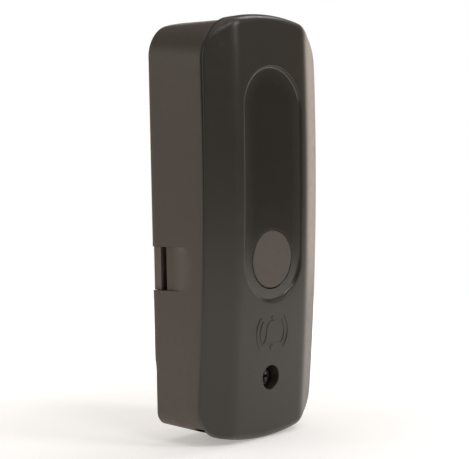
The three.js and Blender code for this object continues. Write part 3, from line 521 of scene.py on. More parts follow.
# Insets of the loops that carry the rounded edges and the lip.
WINDOW_ROUNDS = (0.0, 0.04, 0.1, 0.2, 0.3, 0.5)
LIP_INSETS = (-STEP, STEP, 0.14, 0.28, 0.42, 0.56, 0.75, 1.1, 1.6, 2.2, 2.9, 3.7, 4.5)
CAP_ROUNDS = (0.0, 0.04, 0.1, 0.18, 0.28, 0.4, 0.55, 0.9)

# Parts of a screw head, in shares of its radius and height.
HEAD_RINGS = (0.8, 0.88, 0.94, 0.98, 1.0)
CROWN = Dims(height=1 / 3, flat=0.62, kept=0.998)
CROSS = Dims(half_width=0.15, reach=0.56, foot=0.8, depth=0.62, edge=0.01)


def build_window():
    """Smoked plate in the stadium recess, with a round hole for the button and softly rounded edges."""
    rim = STADIUM.half - LIP_GAP
    loops = [stadium(WINDOW_HALF - inset) for inset in WINDOW_ROUNDS]
    loops += [stadium(rim - inset) for inset in LIP_INSETS]
    loops += [circle(BUTTON_HOLE + out, 0, BUTTON_Z, 72) for out in WINDOW_ROUNDS]
    reach, rim_margin, hole_margin = 16, 5, 0.9
    middle, half_height = (STADIUM.upper + STADIUM.lower) / 2, (STADIUM.upper - STADIUM.lower) / 2
    spread = grid_about(middle, reach, half_height + reach, 1.2)
    clear = stadium_distance(spread) < STADIUM.half - rim_margin
    clear &= radius_from(spread, 0, BUTTON_Z) > BUTTON_HOLE + hole_margin

    def keep(centres):
        inside = stadium_distance(centres) < WINDOW_HALF
        return inside & (radius_from(centres, 0, BUTTON_Z) > BUTTON_HOLE - STEP)

    flat, faces = triangulate(loops, spread[clear], keep)
    face = face_depth(flat[:, 0], flat[:, 1]) - RECESS
    inset = rim - stadium_distance(flat)
    lip_rise, lip_width = WINDOW_LIP
    rise = lip_rise * np.clip(1 - inset / lip_width, 0, 1) * (inset > 0)
    edge = np.minimum(WINDOW_HALF - stadium_distance(flat), radius_from(flat, 0, BUTTON_Z) - BUTTON_HOLE)
    outer = face + rise - edge_drop(np.maximum(edge, 0), WINDOW_EDGE)
    plate = double_height_field("window_plate", flat, faces, outer, face - WINDOW_THICKNESS)
    # The plate's colour is painted lighter towards its rim: a painted sheen, not the plate's own tint.
    mark_painted_sheen(plate)
    return plate


def mark_painted_sheen(plate):
    """Stores on the plate how far its colour is painted lighter, a painted sheen for the light the rim
    catches, from 0 inside to 1 at the recess's rim.
    """
    sheen_layer = plate.data.attributes.new("painted_rim_sheen", "FLOAT", "POINT")
    for vertex, value in zip(plate.data.vertices, sheen_layer.data):
        here = np.array([[vertex.co.x / MM, vertex.co.z / MM]])
        inset = STADIUM.half - stadium_distance(here)[0]
        value.value = np.clip(1 - inset / PAINTED_SHEEN_WIDTH, 0, 1) ** PAINTED_SHEEN_POWER


def build_button():
    """Round cap whose face runs on from the cover's, with a flange behind the cover and a stem."""
    loops = [circle(BUTTON_RADIUS - inset, 0, BUTTON_Z, 96) for inset in CAP_ROUNDS]
    loops += [circle(BUTTON_RADIUS + 2 * STEP, 0, BUTTON_Z, 96), circle(FLANGE_RADIUS, 0, BUTTON_Z, 96)]
    loops += steps_at(lambda radius: circle(radius, 0, BUTTON_Z, 32), STEM_RADIUS)
    rim_margin, stem_margin = 1.2, 0.3
    spread = grid_about(BUTTON_Z, 9, 9, 1.0)
    around = radius_from(spread, 0, BUTTON_Z)
    clear = (around < BUTTON_RADIUS - rim_margin) & (np.abs(around - STEM_RADIUS) > stem_margin)
    flat, faces = triangulate(
        loops, spread[clear], lambda centres: radius_from(centres, 0, BUTTON_Z) < FLANGE_RADIUS)
    around = radius_from(flat, 0, BUTTON_Z)
    cap = face_depth(flat[:, 0], flat[:, 1]) - BUTTON_SUNK
    cap = cap - edge_drop(np.maximum(BUTTON_RADIUS - around, 0), BUTTON_EDGE)
    outer = np.where(around < BUTTON_RADIUS + STEP, cap, FLANGE_FRONT)
    inner = np.where(around < STEM_RADIUS, STEM_TIP, FLANGE_BACK)
    return double_height_field("button_cap", flat, faces, outer, inner)


def cross_loop(slot_half, reach):
    """Outline of a cross recess about the origin, with points along its straight edges."""
    corners = [(reach, -slot_half), (reach, slot_half), (slot_half, slot_half)]
    for i in range(9):
        x, z = corners[i]
        corners.append((-z, x))
    corners = np.array(corners)
    share = np.linspace(0, 1, 5)[:-1, None]
    return np.concatenate([a + (b - a) * share for a, b in zip(corners, np.roll(corners, -1, 0))])


def build_screw(name, x, z, head_radius, head_back, head_front, shank_radius, tip):
    """Pan-head screw pointing into the wall, with a tapered cross recess in its head."""
    head_height = head_front - head_back
    cross = cross_loop(head_radius * CROSS.half_width, head_radius * CROSS.reach)
    loops = [circle(share * head_radius, x, z, 40) for share in HEAD_RINGS]
    loops += [cross * CROSS.foot + (x, z), cross + (x, z)]
    loops += steps_at(lambda radius: circle(radius, x, z, 32), shank_radius)
    no_more = np.zeros((0, 2))
    flat, faces = triangulate(loops, no_more, lambda centres: radius_from(centres, x, z) < head_radius)
    around = radius_from(flat, x, z)
    beyond = np.clip((around / head_radius - CROWN.flat) / (1 - CROWN.flat), 0, 1)
    outer = head_front - head_height * CROWN.height * (1 - np.sqrt(1 - beyond ** 2 * CROWN.kept))
    inside = loop_distance(flat, cross + (x, z)) > CROSS.edge * head_radius
    outer = np.where(inside, outer - head_height * CROSS.depth, outer)
    inner = np.where(around < shank_radius, tip, head_back)
    return double_height_field(name, flat, faces, outer, inner)


# ---------------- rear housing

def housing_front(z):
    """Depth of the housing's front edge, behind the parting groove."""
    return along(PARTING, z) - COVER_RIM - np.interp(z, GROOVE_HEIGHTS, GROOVE_WIDTHS)


def housing_ring(inset, base, follow):
    """Ring of the ruled housing wall at depth base + follow * front edge, lifted over the stepped heel."""
    rear, mouth = outline(REAR_OUTLINE, inset), outline(MOUTH_OUTLINE, inset)
    ring = mouth
    for _ in range(3):
        depth = base + follow * housing_front(ring[:, 1])
        if follow == 0 and base < HEEL_DEPTH:
            heel = smooth_step((HEEL_TOP - ring[:, 1]) / (HEEL_TOP - HEEL_BOTTOM))
            depth = depth + (HEEL_DEPTH - base * HEEL_DEPTH) * heel
        ring = rear + (mouth - rear) * (depth / MOUTH_DEPTH)[:, None]
    return at_depth(ring, depth)


# Inset from the outline, depth, and share of the front edge's depth added to it, for each ring.
HOUSING_PROFILE = [
    # floor and inside of the wall
    (3.0, FLOOR_FRONT, 0), (2.45, FLOOR_FRONT + 0.12, 0), (HOUSING_WALL, FLOOR_FRONT + 0.6, 0),
    (HOUSING_WALL, 0, 0.7),
    # front edge
    (HOUSING_WALL, -0.3, 1), (2.28, -0.1, 1), (2.5, 0, 1), (0.8, 0, 1), (0.45, -0.08, 1), (0.17, -0.27, 1),
    (0.04, -0.55, 1), (0, -0.9, 1),
    # outside of the wall
    (0, 0, 0.85), (0, 0, 0.7), (0, 0, 0.55), (0, 0, 0.4), (0, 0, 0.25), (0, 2.4, 0), (0, 0.6, 0),
    # wall edge, and the hollow for the plate
    (0.08, 0.24, 0), (0.24, 0.06, 0), (0.5, 0, 0), (1.9, 0, 0), (HOUSING_WALL, 0.3, 0),
    (HOUSING_WALL, 6.9, 0), (2.7, FLOOR_BACK, 0),
]


def loft_faces(rings, start=0):
    """Faces of a closed skin through rings of equal point count, with a flat cap on each end ring."""
    count = len(rings[0])
    last = start + (len(rings) - 1) * count
    faces = [tuple(range(start, start + count)), tuple(reversed(range(last, last + count)))]
    for first in range(start, last, count):
        for i in range(count):
            a, b = first + i, first + (i + 1) % count
            faces.append((a, a + count, b + count, b))
    return faces


def closed_loft(name, rings):
    return make_object(name, np.concatenate(rings), loft_faces(rings))


def block(x0, x1, d0, d1, z0, z1):
    """A cutting or joining block between two depths."""
    corners = [(x, -d, z) for z in (z0, z1) for d in (d0, d1) for x in (x0, x1)]
    faces = [(0, 1, 3, 2), (4, 6, 7, 5), (0, 4, 5, 1), (2, 3, 7, 6), (0, 2, 6, 4), (1, 5, 7, 3)]
    return make_object("tool", corners, faces)


def post(radius, d0, d1, x, z, steps=32):
    """A round cutting or joining post along Y."""
    return closed_loft("tool", [at_depth(circle(radius, x, z, steps), d) for d in (d0, d1)])


def notch_tools(side):
    """The opening at the wall edge, and the thumb scoop with a rounded end in front of it."""
    outer, inner = REAR_OUTLINE.half + OVERCUT, REAR_OUTLINE.half - NOTCH.recess
    back = NOTCH.depth - OVERLAP
    middle, half = (NOTCH.top + NOTCH.bottom) / 2, (NOTCH.top - NOTCH.bottom) / 2
    rings = []
    for z in np.linspace(NOTCH.bottom, NOTCH.top, 25):
        end = NOTCH.scoop_end + NOTCH.scoop_bulge * math.sqrt(max(1 - ((z - middle) / half) ** 2, 0))
        flush = REAR_OUTLINE.half + (MOUTH_OUTLINE.half - REAR_OUTLINE.half) * end / MOUTH_DEPTH
        section = [(inner, back), (outer, back), (outer, end)]
        for share in np.linspace(0, 1, 13):
            across = flush - (flush - inner) * smooth_step(share)
            section.append((across, end - share * (end - NOTCH.scoop_start)))
        rings.append(np.array([(side * x, -d, z) for x, d in section]))
    low, high = sorted((side * outer, side * NOTCH.inner))
    opening = block(low, high, -OVERCUT, NOTCH.depth, NOTCH.bottom, NOTCH.top)
    return [opening, closed_loft("tool", rings)]


def slit_tool(side):
    """The thin slit in the front edge near the lower corner."""
    front = along(PARTING, SLIT.mouth_z) - COVER_RIM
    low, high = sorted((side * SLIT.inner, side * SLIT.outer))
    half = SLIT.height / 2
    return block(low, high, front - SLIT.length, front + 2 * OVERCUT, SLIT.z - half, SLIT.z + half)


def sound_slot_tools():
    """A row of slots in the bottom wall in front of the speaker, longest in the middle."""
    tools = []
    middle = SOUND_SLOTS.count // 2
    for i in range(-middle, middle + 1):
        x = SPEAKER.x + SOUND_SLOTS.pitch * i
        half = SOUND_SLOTS.half_length - SOUND_SLOTS.taper * abs(i)
        near, far = x - SOUND_SLOTS.half_width, x + SOUND_SLOTS.half_width
        tools.append(block(near, far, SPEAKER.depth - half, SPEAKER.depth + half, *END_CUT))
    return tools


def carve(piece, tools, operation="DIFFERENCE"):
    """Joins or cuts tools and keeps the resulting mesh."""
    for tool in tools:
        modifier = piece.modifiers.new("carve", "BOOLEAN")
        modifier.operation = operation
        modifier.solver = "MANIFOLD"
        modifier.object = tool
    settle(piece)
    for tool in tools:
        bpy.data.objects.remove(tool)


def settle(piece):
    """Turns the modifiers into mesh."""
    bpy.context.view_layer.update()
    result = bpy.data.meshes.new_from_object(piece.evaluated_get(bpy.context.evaluated_depsgraph_get()))
    piece.modifiers.clear()
    piece.data = result


def build_housing():
    """Housing with its floor, board posts and screw boss, and all its openings."""
    shell = closed_loft("housing_shell", [housing_ring(*row) for row in HOUSING_PROFILE])
    root = FLOOR_BACK + OVERLAP
    posts = [post(BOARD_POST_RADIUS, root, BOARD_BACK - BOARD_GAP, x, z) for x, z in BOARD_POSTS]
    carve(shell, posts + [post(BOSS_RADIUS, root, BOSS_FRONT, 0, SCREW_Z, 48)], "UNION")
    cuts = [post(BOARD_POST_HOLE, FLOOR_FRONT, BOARD_BACK, x, z, 20) for x, z in BOARD_POSTS]
    cuts.append(post(BOSS_BORE, BOSS_FLOOR, BOSS_FRONT + OVERCUT, 0, SCREW_Z, 48))
    cuts.append(post(GROMMET.radius, *FLOOR_CUT, GROMMET.x, GROMMET.z))
    cuts += [post(PLATE_SCREW_HOLE, *FLOOR_CUT, x, z, 24) for x, z in PLATE_SCREWS.values()]
    for side in (-1, 1):
        cuts += notch_tools(side) + [slit_tool(side)]
    carve(shell, cuts + sound_slot_tools() + [microphone_tool()])
    finish_normals(shell)
    return shell


def microphone_tool(steps=20):
    """The microphone's hole in the bottom wall."""
    ring = circle(MICROPHONE.hole, MICROPHONE.x, 0, steps)
    depth = ring[:, 1] - MICROPHONE.depth
    return closed_loft("tool", [np.stack([ring[:, 0], depth, np.full(steps, float(z))], 1) for z in END_CUT])


# ---------------- inside pieces

# Turned pieces are given by (radius, depth) points; the speaker and the microphone stand upright and have
# (radius, height) points.
BARREL_BACK = [(0, 25.5), (4.4, 25.5)]
GRIP_GROOVE = [(4.4, 0), (4.2, 0.1), (4.2, 0.3), (4.4, 0.4)]
GRIP_STARTS = (26, 26.6, 27.2)
BARREL_MOUTH = [
    (4.4, 28.1), (4.25, 28.42), (3.95, 28.6), (3.35, 28.6), (3.12, 28.4), (3.12, 27.6), (2.95, 27.5),
    (2.95, 26.7), (0, 26.7)]
LENS_RIM = [(0, 27), (2.8, 27), (2.8, 27.3)]
LENS_DOME = (2.7, 27.35, 28.4)   # radius, base and tip
MOTION_LENS = Dims(radius=7.2, shoulder=24.0, tip=28.8, foot=17.45, bulge=2.4, blunt=0.42)
MOTION_LENS_HOLLOW = [(0, 28.0), (3.3, 27.5), (5.5, 26.0), (6.3, 24.0), (6.3, 17.45)]
FRESNEL = Dims(outer=6.9, inner=0.4, pitch=0.32, step=0.1)
MOTION_SENSOR = [
    (0, 17.45), (4.6, 17.45), (4.6, 18.0), (4.5, 18.14), (4.15, 18.2), (4.1, 18.4), (4.1, 21.5), (4, 21.8),
    (3.7, 21.9), (2.2, 21.9), (2.1, 21.7), (0, 21.7)]
LED_BODY = [(0, 17.45), (1.5, 17.45), (1.5, 18.2), (1.36, 18.3), (1.36, 26.9)]
LED_DOME = (1.36, 27.1, 28.5)
SPEAKER_FACE = -66
SPEAKER_PROFILE = [
    (0, 0.5), (0.8, 0.6), (1.5, 0.9), (1.8, 1.25), (3.2, 0.75), (3.9, 0.42), (4.1, 0.28), (4.35, 0.1),
    (4.6, 0.04), (4.85, 0.1), (5.05, 0.3), (5.2, 0.1), (5.32, 0), (6.1, 0), (6.2, 0.12), (6.2, 1.7),
    (6.05, 2.0), (5.1, 2.4), (4.7, 3.0), (4.6, 4.2), (4.4, 4.4), (0, 4.4)]
MICROPHONE_CAN = [
    (0, -66.7), (0.5, -66.7), (0.55, -67), (2.7, -67), (2.94, -66.9), (3, -66.6), (3, -65.1), (2.9, -64.8),
    (0, -64.8)]

# Parts on the board: x, z, width and height, and how far each rises from the board.
CHIPS = [
    (16, 44, 6, 5, 1.1), (-16.5, 44, 5, 5, 0.9), (16, 30, 4.4, 6, 0.9), (-4, -20.5, 3.6, 4.6, 1.0),
    (14, -18, 5, 6, 1.0)]
CHIP_LIFT = 0.1
COILS = [(-16.5, 31, 5, 5, 2.2), (-16.5, 24, 3.6, 3.6, 1.6)]
CANS = [(16, 21.5, 3.6, 2.6, 0.9), (-14, -18, 7, 5, 1.4)]
PIN = Dims(size=(0.9, 0.32, 0.35), pitch=0.8, reach=0.3, first=0.6, last=0.5)
RESISTORS = Dims(
    columns=(11.8, 20.6, -11.8, -21), rows=13, top=51, pitch=3.1, stagger=0.7, size=(0.9, 0.7, 0.42))
RESISTOR_END = Dims(x=0.6, size=(0.35, 0.74, 0.46))
DIODES = Dims(columns=(19.5, -19.5), rows=6, top=6, pitch=4, size=(0.7, 1.2, 0.5))

# Soft edges of small blocks: largest radius, share of the block's smaller side, and smallest corner.
BLOCK_EDGE = Dims(radius=0.18, share=0.2, bend=0.3, smallest=0.02)
PIN_EDGE = 0.1
TINY_EDGE = 0.08

SHIELD = Dims(half_width=18.0, low=-43.0, high=-28.0, front=20.4, back=17.45, corner=0.8, edge=0.4)
SHIELD_INSETS = (0.08, 0.2, 0.4, 0.9)
DIMPLES = [(x, z) for x in np.arange(-15, 16, 3.0) for z in (-40.0, -37.0, -34.0, -31.0)]
DIMPLE_RINGS = (0.3, 0.6, 0.8)
DIMPLE = Dims(radius=0.8, slope=0.5, depth=0.16)

BATTERY = Dims(z=8.25, half_width=20.4, half_height=49.75, corner=2.5)
BATTERY_EDGE = [
    (1.4, 9.62), (0.5, 9.8), (0.1, 10.5), (0, 11.6), (0, 13.4), (0.1, 14.4), (0.5, 15.0), (1.4, 15.18)]


def lathe(name, profile, x, z, steps=48, upright=False):
    """A piece turned about an axis along Y, or upright with z as the depth its axis stands at."""
    rings = []
    for radius, level in profile:
        ring = circle(max(radius, AXIS_RADIUS), 0, 0, steps)
        if upright:
            rings.append(np.stack([x + ring[:, 0], ring[:, 1] - z, np.full(steps, float(level))], 1))
        else:
            rings.append(at_depth(ring + (x, z), level))
    return closed_loft(name, rings)


def dome(radius, base, tip, steps=10):
    """Points of a quarter ellipse from the rim at base to the axis at tip."""
    turn = np.linspace(0, math.pi / 2, steps)
    return [(radius * math.cos(t), base + (tip - base) * math.sin(t)) for t in turn]


def build_barrel():
    """Lens barrel with three grip grooves and a stepped mouth."""
    grooves = [(radius, start + depth) for start in GRIP_STARTS for radius, depth in GRIP_GROOVE]
    return lathe("lens_barrel_detail", BARREL_BACK + grooves + BARREL_MOUTH, 0, CAMERA_Z)


def build_lens_front():
    return lathe("lens_front_detail", LENS_RIM + dome(*LENS_DOME), 0, CAMERA_Z)


def build_motion_lens():
    """Milky dome with the fine ring steps of a Fresnel lens."""
    radius, shoulder, tip = MOTION_LENS.radius, MOTION_LENS.shoulder, MOTION_LENS.tip
    profile = MOTION_LENS_HOLLOW + [(radius, MOTION_LENS.foot), (radius, shoulder)]
    for i, r in enumerate(np.arange(FRESNEL.outer, FRESNEL.inner, -FRESNEL.pitch)):
        rise = (tip - shoulder) * (1 - (r / radius) ** MOTION_LENS.bulge) ** MOTION_LENS.blunt
        profile.append((r, shoulder + rise - FRESNEL.step * (i % 2)))
    return lathe("motion_lens_detail", profile + [(0, tip)], 0, MOTION_Z, 64)


def build_motion_sensor():
    return lathe("motion_sensor_detail", MOTION_SENSOR, 0, MOTION_Z)


def build_led(level, side):
    profile = LED_BODY + dome(*LED_DOME)
    return lathe(f"led_{level}_{side}_detail", profile, LED_X[side], LED_Z[level], 32)


def build_speaker():
    """Small speaker facing down: dust cap, cone, rolled surround and a stepped frame."""
    profile = [(radius, level + SPEAKER_FACE) for radius, level in SPEAKER_PROFILE]
    return lathe("speaker_detail", profile, SPEAKER.x, SPEAKER.depth, upright=True)


def build_microphone():
    return lathe("microphone_detail", MICROPHONE_CAN, MICROPHONE.x, MICROPHONE.depth, 32, upright=True)


def build_spring(steps_per_turn=28, around=10):
    """Button spring with flat end coils, as a swept wire."""
    count = SPRING.turns * steps_per_turn + 1
    side = np.linspace(0, 2 * math.pi, around, endpoint=False)
    rings = []
    for turns in np.linspace(0, SPRING.turns, count):
        climb = np.clip((turns - SPRING.flat) / (SPRING.turns - 2 * SPRING.flat), 0, 1)
        depth = SPRING.back + (SPRING.front - SPRING.back) * climb
        angle = 2 * math.pi * turns
        reach = SPRING.radius + SPRING.wire * np.cos(side)
        across, over = reach * math.cos(angle), BUTTON_Z + reach * math.sin(angle)
        rings.append(np.stack([across, -depth + SPRING.wire * np.sin(side), over], 1))
    return closed_loft("button_spring_detail", rings)


def rounded_rectangle(x, z, half_x, half_z, corner, steps=5):
    turn = np.linspace(0, math.pi / 2, steps)
    arc = corner * np.stack([np.cos(turn), np.sin(turn)], 1)
    loop = []
    for sx, sz, flip in ((1, 1, 1), (-1, 1, -1), (-1, -1, 1), (1, -1, -1)):
        part = arc * (sx, sz) + (sx * (half_x - corner), sz * (half_z - corner))
        loop.append(part[::flip])
    return np.concatenate(loop) + (x, z)


def rounded_blocks(name, blocks, radius=BLOCK_EDGE.radius):
    """One piece made of many small blocks with soft edges, each (x, z, width, height, back, front)."""
    rings, faces = [], []
    for x, z, width, height, back, front in blocks:
        soft = min(radius, BLOCK_EDGE.share * min(width, height))
        bend = BLOCK_EDGE.bend * soft
        levels = [(0, back), (0, front - soft), (bend, front - bend), (soft, front)]
        skin = []
        for inset, depth in levels:
            corner = max(soft - inset, BLOCK_EDGE.smallest)
            loop = rounded_rectangle(x, z, width / 2 - inset, height / 2 - inset, corner)
            skin.append(at_depth(loop, depth))
        faces += loft_faces(skin, sum(map(len, rings)))
        rings += skin
    return make_object(name, np.concatenate(rings), faces)


def on_board(x, z, size, lift=0.0):
    """A block of the given width, height and rise, standing on the board."""
    width, height, rise = size
    return (x, z, width, height, BOARD_FRONT + lift, BOARD_FRONT + rise)


def chip_pins(x, z, width, height):
    """Gull-wing pins along the two long sides of a chip."""
    offsets = np.arange(-height / 2 + PIN.first, height / 2 - PIN.last, PIN.pitch)
    reach = width / 2 + PIN.reach
    return [on_board(x + side * reach, z + offset, PIN.size) for offset in offsets for side in (-1, 1)]


def build_board_parts():
    """The small parts soldered to the front of the board, grouped by what they are made of."""
    bodies = [on_board(x, z, size, CHIP_LIFT) for x, z, *size in CHIPS]
    pins = [pin for x, z, width, height, _ in CHIPS for pin in chip_pins(x, z, width, height)]
    coils = [on_board(x, z, size) for x, z, *size in COILS]
    cans = [on_board(x, z, size) for x, z, *size in CANS]
    tiny, ends = [], []
    for column, x in enumerate(RESISTORS.columns):
        for row in range(RESISTORS.rows):
            z = RESISTORS.top - RESISTORS.pitch * row - RESISTORS.stagger * (column % 2)
            tiny.append(on_board(x, z, RESISTORS.size))
            ends += [on_board(x + side * RESISTOR_END.x, z, RESISTOR_END.size) for side in (-1, 1)]
    for row in range(DIODES.rows):
        z = DIODES.top - DIODES.pitch * row
        tiny += [on_board(x, z, DIODES.size) for x in DIODES.columns]
    return {
        "black_plastic": rounded_blocks("board_chips", bodies + coils),
        "tin": rounded_blocks("board_metal_parts", pins + cans + ends, PIN_EDGE),
        "flex": rounded_blocks("board_tiny_parts", tiny, TINY_EDGE),
    }


def build_shield():
    """Pressed sheet lid with soft edges and rows of small dimples."""
    middle, half_height = (SHIELD.low + SHIELD.high) / 2, (SHIELD.high - SHIELD.low) / 2
    loops = [
        rounded_rectangle(0, middle, SHIELD.half_width - inset, half_height - inset, SHIELD.corner)
        for inset in (0,) + SHIELD_INSETS]
    edge = loops[0]
    for x, z in DIMPLES:
        loops += [circle(radius, x, z, 14) for radius in DIMPLE_RINGS]
    margin, dimple_margin = 1.5, 0.95
    spread = grid_about(middle, SHIELD.half_width - margin, half_height - margin, 0.9)
    for x, z in DIMPLES:
        spread = spread[radius_from(spread, x, z) > dimple_margin]
    flat, faces = triangulate(loops, spread, lambda centres: loop_distance(centres, edge) > 0)
    outer = SHIELD.front - edge_drop(np.maximum(loop_distance(flat, edge), 0), SHIELD.edge)
    for x, z in DIMPLES:
        inside = DIMPLE.radius - radius_from(flat, x, z)
        outer = outer - DIMPLE.depth * smooth_step(inside / DIMPLE.slope)
    inner = np.full(len(flat), SHIELD.back)
    return double_height_field("processor_shield_detail", flat, faces, outer, inner)


def build_battery():
    """Foil pouch that swells a little between its folded edges."""
    rings = []
    for inset, depth in BATTERY_EDGE:
        half_width, half_height = BATTERY.half_width - inset, BATTERY.half_height - inset
        loop = rounded_rectangle(0, BATTERY.z, half_width, half_height, BATTERY.corner, 8)
        rings.append(at_depth(loop, depth))
    return closed_loft("battery_pack_detail", rings)


# ---------------- materials

# Colour and value sockets of a Mix node, which have the same name twice.
COLOUR_A = 6
COLOUR_B = 7
COLOUR_OUT = 2
VALUE_A = 2
VALUE_B = 3

CLOUD = dict(Scale=90.0, Detail=6.0, Roughness=0.6)
SCUFF = dict(Scale=420.0, Detail=4.0)
SCUFF_RANGE = (0.3, 0.7)
GRAIN_DETAIL = 3.0
WEAR_RANGE = (0.52, 0.62)
WORN_GAIN = 2.2
WORN_LIFT = 0.03
SMOOTHEST = 0.02
SMOOTH = "SMOOTHSTEP"


def node(tree, kind, inputs=(), **settings):
    """One node, with its settings and with values or sockets on its inputs."""
    made = tree.nodes.new("ShaderNode" + kind)
    for key, value in settings.items():
        setattr(made, key, value)
    for key, value in dict(inputs).items():
        if isinstance(value, bpy.types.NodeSocket):
            tree.links.new(value, made.inputs[key])
        else:
            made.inputs[key].default_value = value
    return made


def ramp(tree, value, start, end, low=0.0, high=1.0, **settings):
    """Output of a value carried from the range start..end to the range low..high."""
    inputs = {"Value": value, "From Min": start, "From Max": end, "To Min": low, "To Max": high}
    return node(tree, "MapRange", inputs, **settings).outputs["Result"]


def linear(red, green, blue):
    """sRGB 0-255 to a linear colour."""
    parts = [c / 255 for c in (red, green, blue)]
    return [c / 12.92 if c <= 0.04045 else ((c + 0.055) / 1.055) ** 2.4 for c in parts] + [1.0]


def scaled(colour, gain, lift=0.0):
    """A colour made lighter or darker, with full alpha."""
    return [min(c * gain + lift, 1) for c in colour[:3]] + [1]


def mix_colours(tree, factor, first, second):
    """Output of a mix of two colours, each a value or a socket."""
    inputs = {"Factor": factor, COLOUR_A: first, COLOUR_B: second}
    return node(tree, "Mix", inputs, data_type="RGBA").outputs[COLOUR_OUT]


def noise(tree, place, **sockets):
    return node(tree, "TexNoise", {"Vector": place, **sockets}).outputs["Fac"]


def surface(name, rgb, roughness, metallic=0.0, grain=None, mottle=0.06, wear=0.0, rough_spread=0.06, **more):
    """A principled surface with cloudy colour and roughness, a fine bump and lighter worn edges.
    grain is (size of a cell in mm, height in mm)."""
    colour = linear(*rgb)
    made = bpy.data.materials.new(name)
    made.use_nodes = True
    tree = made.node_tree
    shader = tree.nodes["Principled BSDF"]
    place = node(tree, "TexCoord").outputs["Object"]
    cloud = noise(tree, place, **CLOUD)
    result = mix_colours(tree, cloud, scaled(colour, 1 - mottle), scaled(colour, 1 + mottle))
    if wear:
        bend = node(tree, "NewGeometry").outputs["Pointiness"]
        edge = ramp(tree, bend, *WEAR_RANGE, 0.0, wear)
        result = mix_colours(tree, edge, result, scaled(colour, WORN_GAIN, WORN_LIFT))
    tree.links.new(result, shader.inputs["Base Color"])
    scuff = noise(tree, place, **SCUFF)
    smooth, rough = max(roughness - rough_spread, SMOOTHEST), min(roughness + rough_spread, 1.0)
    tree.links.new(ramp(tree, scuff, *SCUFF_RANGE, smooth, rough), shader.inputs["Roughness"])
    if grain:
        size, height = grain
        fine = noise(tree, place, Scale=1 / (size * MM), Detail=GRAIN_DETAIL)
        bump = node(tree, "Bump", {"Height": fine, "Strength": 1.0, "Distance": height * MM})
        tree.links.new(bump.outputs["Normal"], shader.inputs["Normal"])
    shader.inputs["Metallic"].default_value = metallic
    for key, value in more.items():
        shader.inputs[key.replace("_", " ")].default_value = value
    return made


MATERIALS = {
    "housing": surface("housing_plastic", (64, 56, 48), 0.45, grain=(0.45, 0.012), wear=0.10),
    "cover": surface("cover_plastic", (42, 38, 32), 0.34, grain=(0.6, 0.003), wear=0.10, rough_spread=0.03),
    "window": surface("smoked_plate", (38, 36, 32), 0.2, mottle=0.03, rough_spread=0.03),
    "button": surface("button_plastic", (74, 68, 62), 0.55, grain=(0.3, 0.003), wear=0.12),
    "rubber": surface("black_rubber", (30, 30, 30), 0.8, grain=(0.3, 0.02), mottle=0.12),
    "plate": surface("plate_plastic", (80, 72, 66), 0.62, grain=(0.4, 0.02), wear=0.12),
    "steel": surface("zinc_steel", (150, 150, 152), 0.32, metallic=1.0, grain=(0.25, 0.004), mottle=0.1),
    "blackened": surface(
        "blackened_steel", (118, 114, 108), 0.3, metallic=0.9, grain=(0.25, 0.004), mottle=0.1),
    "brass": surface("knurled_brass", (196, 160, 88), 0.32, metallic=1.0, grain=(0.25, 0.006), mottle=0.12),
    "board": surface("board_resist", (24, 78, 48), 0.42, grain=(0.9, 0.01), mottle=0.15, Coat_Weight=0.3),
    "tin": surface("tinned_steel", (186, 188, 190), 0.4, metallic=1.0, grain=(0.5, 0.006), mottle=0.08),
    "black_plastic": surface("black_nylon", (26, 26, 28), 0.5, grain=(0.4, 0.012), wear=0.12),
    "diffuser": surface(
        "milky_diffuser", (222, 228, 230), 0.4, grain=(0.8, 0.006), mottle=0.02,
        Subsurface_Weight=0.3, Subsurface_Scale=0.001),
    "glass": surface(
        "coated_glass", (18, 26, 34), 0.05, mottle=0.05, rough_spread=0.02,
        Coat_Weight=0.8, Coat_Roughness=0.02),
    "pouch": surface("foil_pouch", (154, 160, 166), 0.34, metallic=0.7, grain=(2.5, 0.05), mottle=0.08),
    "terminal": surface("terminal_nylon", (40, 110, 66), 0.5, grain=(0.4, 0.012), wear=0.12),
    "flex": surface("antenna_flex", (150, 92, 34), 0.42, grain=(0.6, 0.008), mottle=0.15),
}


def paint_rim_sheen(made, colour):
    """Runs a surface's colour over to another, lighter one where the piece's painted rim sheen grows."""
    tree = made.node_tree
    shader = tree.nodes["Principled BSDF"]
    inner = shader.inputs["Base Color"].links[0].from_socket
    share = node(tree, "Attribute", attribute_name="painted_rim_sheen").outputs["Fac"]
    tree.links.new(mix_colours(tree, share, inner, colour), shader.inputs["Base Color"])


# The smoked plate is painted lighter towards its rim: a painted sheen standing in for the light the rim
# catches.
paint_rim_sheen(MATERIALS["window"], linear(54, 52, 48))


# ---------------- the object

CAD_SLOTS = {
    "plate": ["mount_plate"],
    "brass": ["screw_insert", "terminal_screw_left", "terminal_screw_right"],
    "rubber": [
        "cable_grommet", "cover_seal", "window_gasket", "button_seal", "screw_seal", "speaker_gasket",
        "microphone_seal"],
    "steel": ["guide_screw_left", "guide_screw_right"],
    "diffuser": ["light_ring"],
    "black_plastic": ["button_guide", "switch_body", "camera_bracket", "camera_housing"],
    "board": ["main_board", "sensor_board"],
    "button": ["switch_plunger"],
    "flex": ["wifi_antenna"],
    "terminal": ["terminal_block"],
}
CAD_EDGE = 0.12
CAD_EDGE_ANGLE = 40              # degrees


def dress(piece, material):
    """Gives a piece, or a CAD node, its material."""
    piece.data.materials.clear()
    piece.data.materials.append(MATERIALS[material])


def add_piece(piece, body, material):
    """A detailed piece rides on its body."""
    dress(piece, material)
    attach(piece, body)


def stand_in(piece, body, material, *nodes):
    """A detailed piece rides on its body in place of CAD nodes."""
    add_piece(piece, body, material)
    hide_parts(*nodes)
    return piece


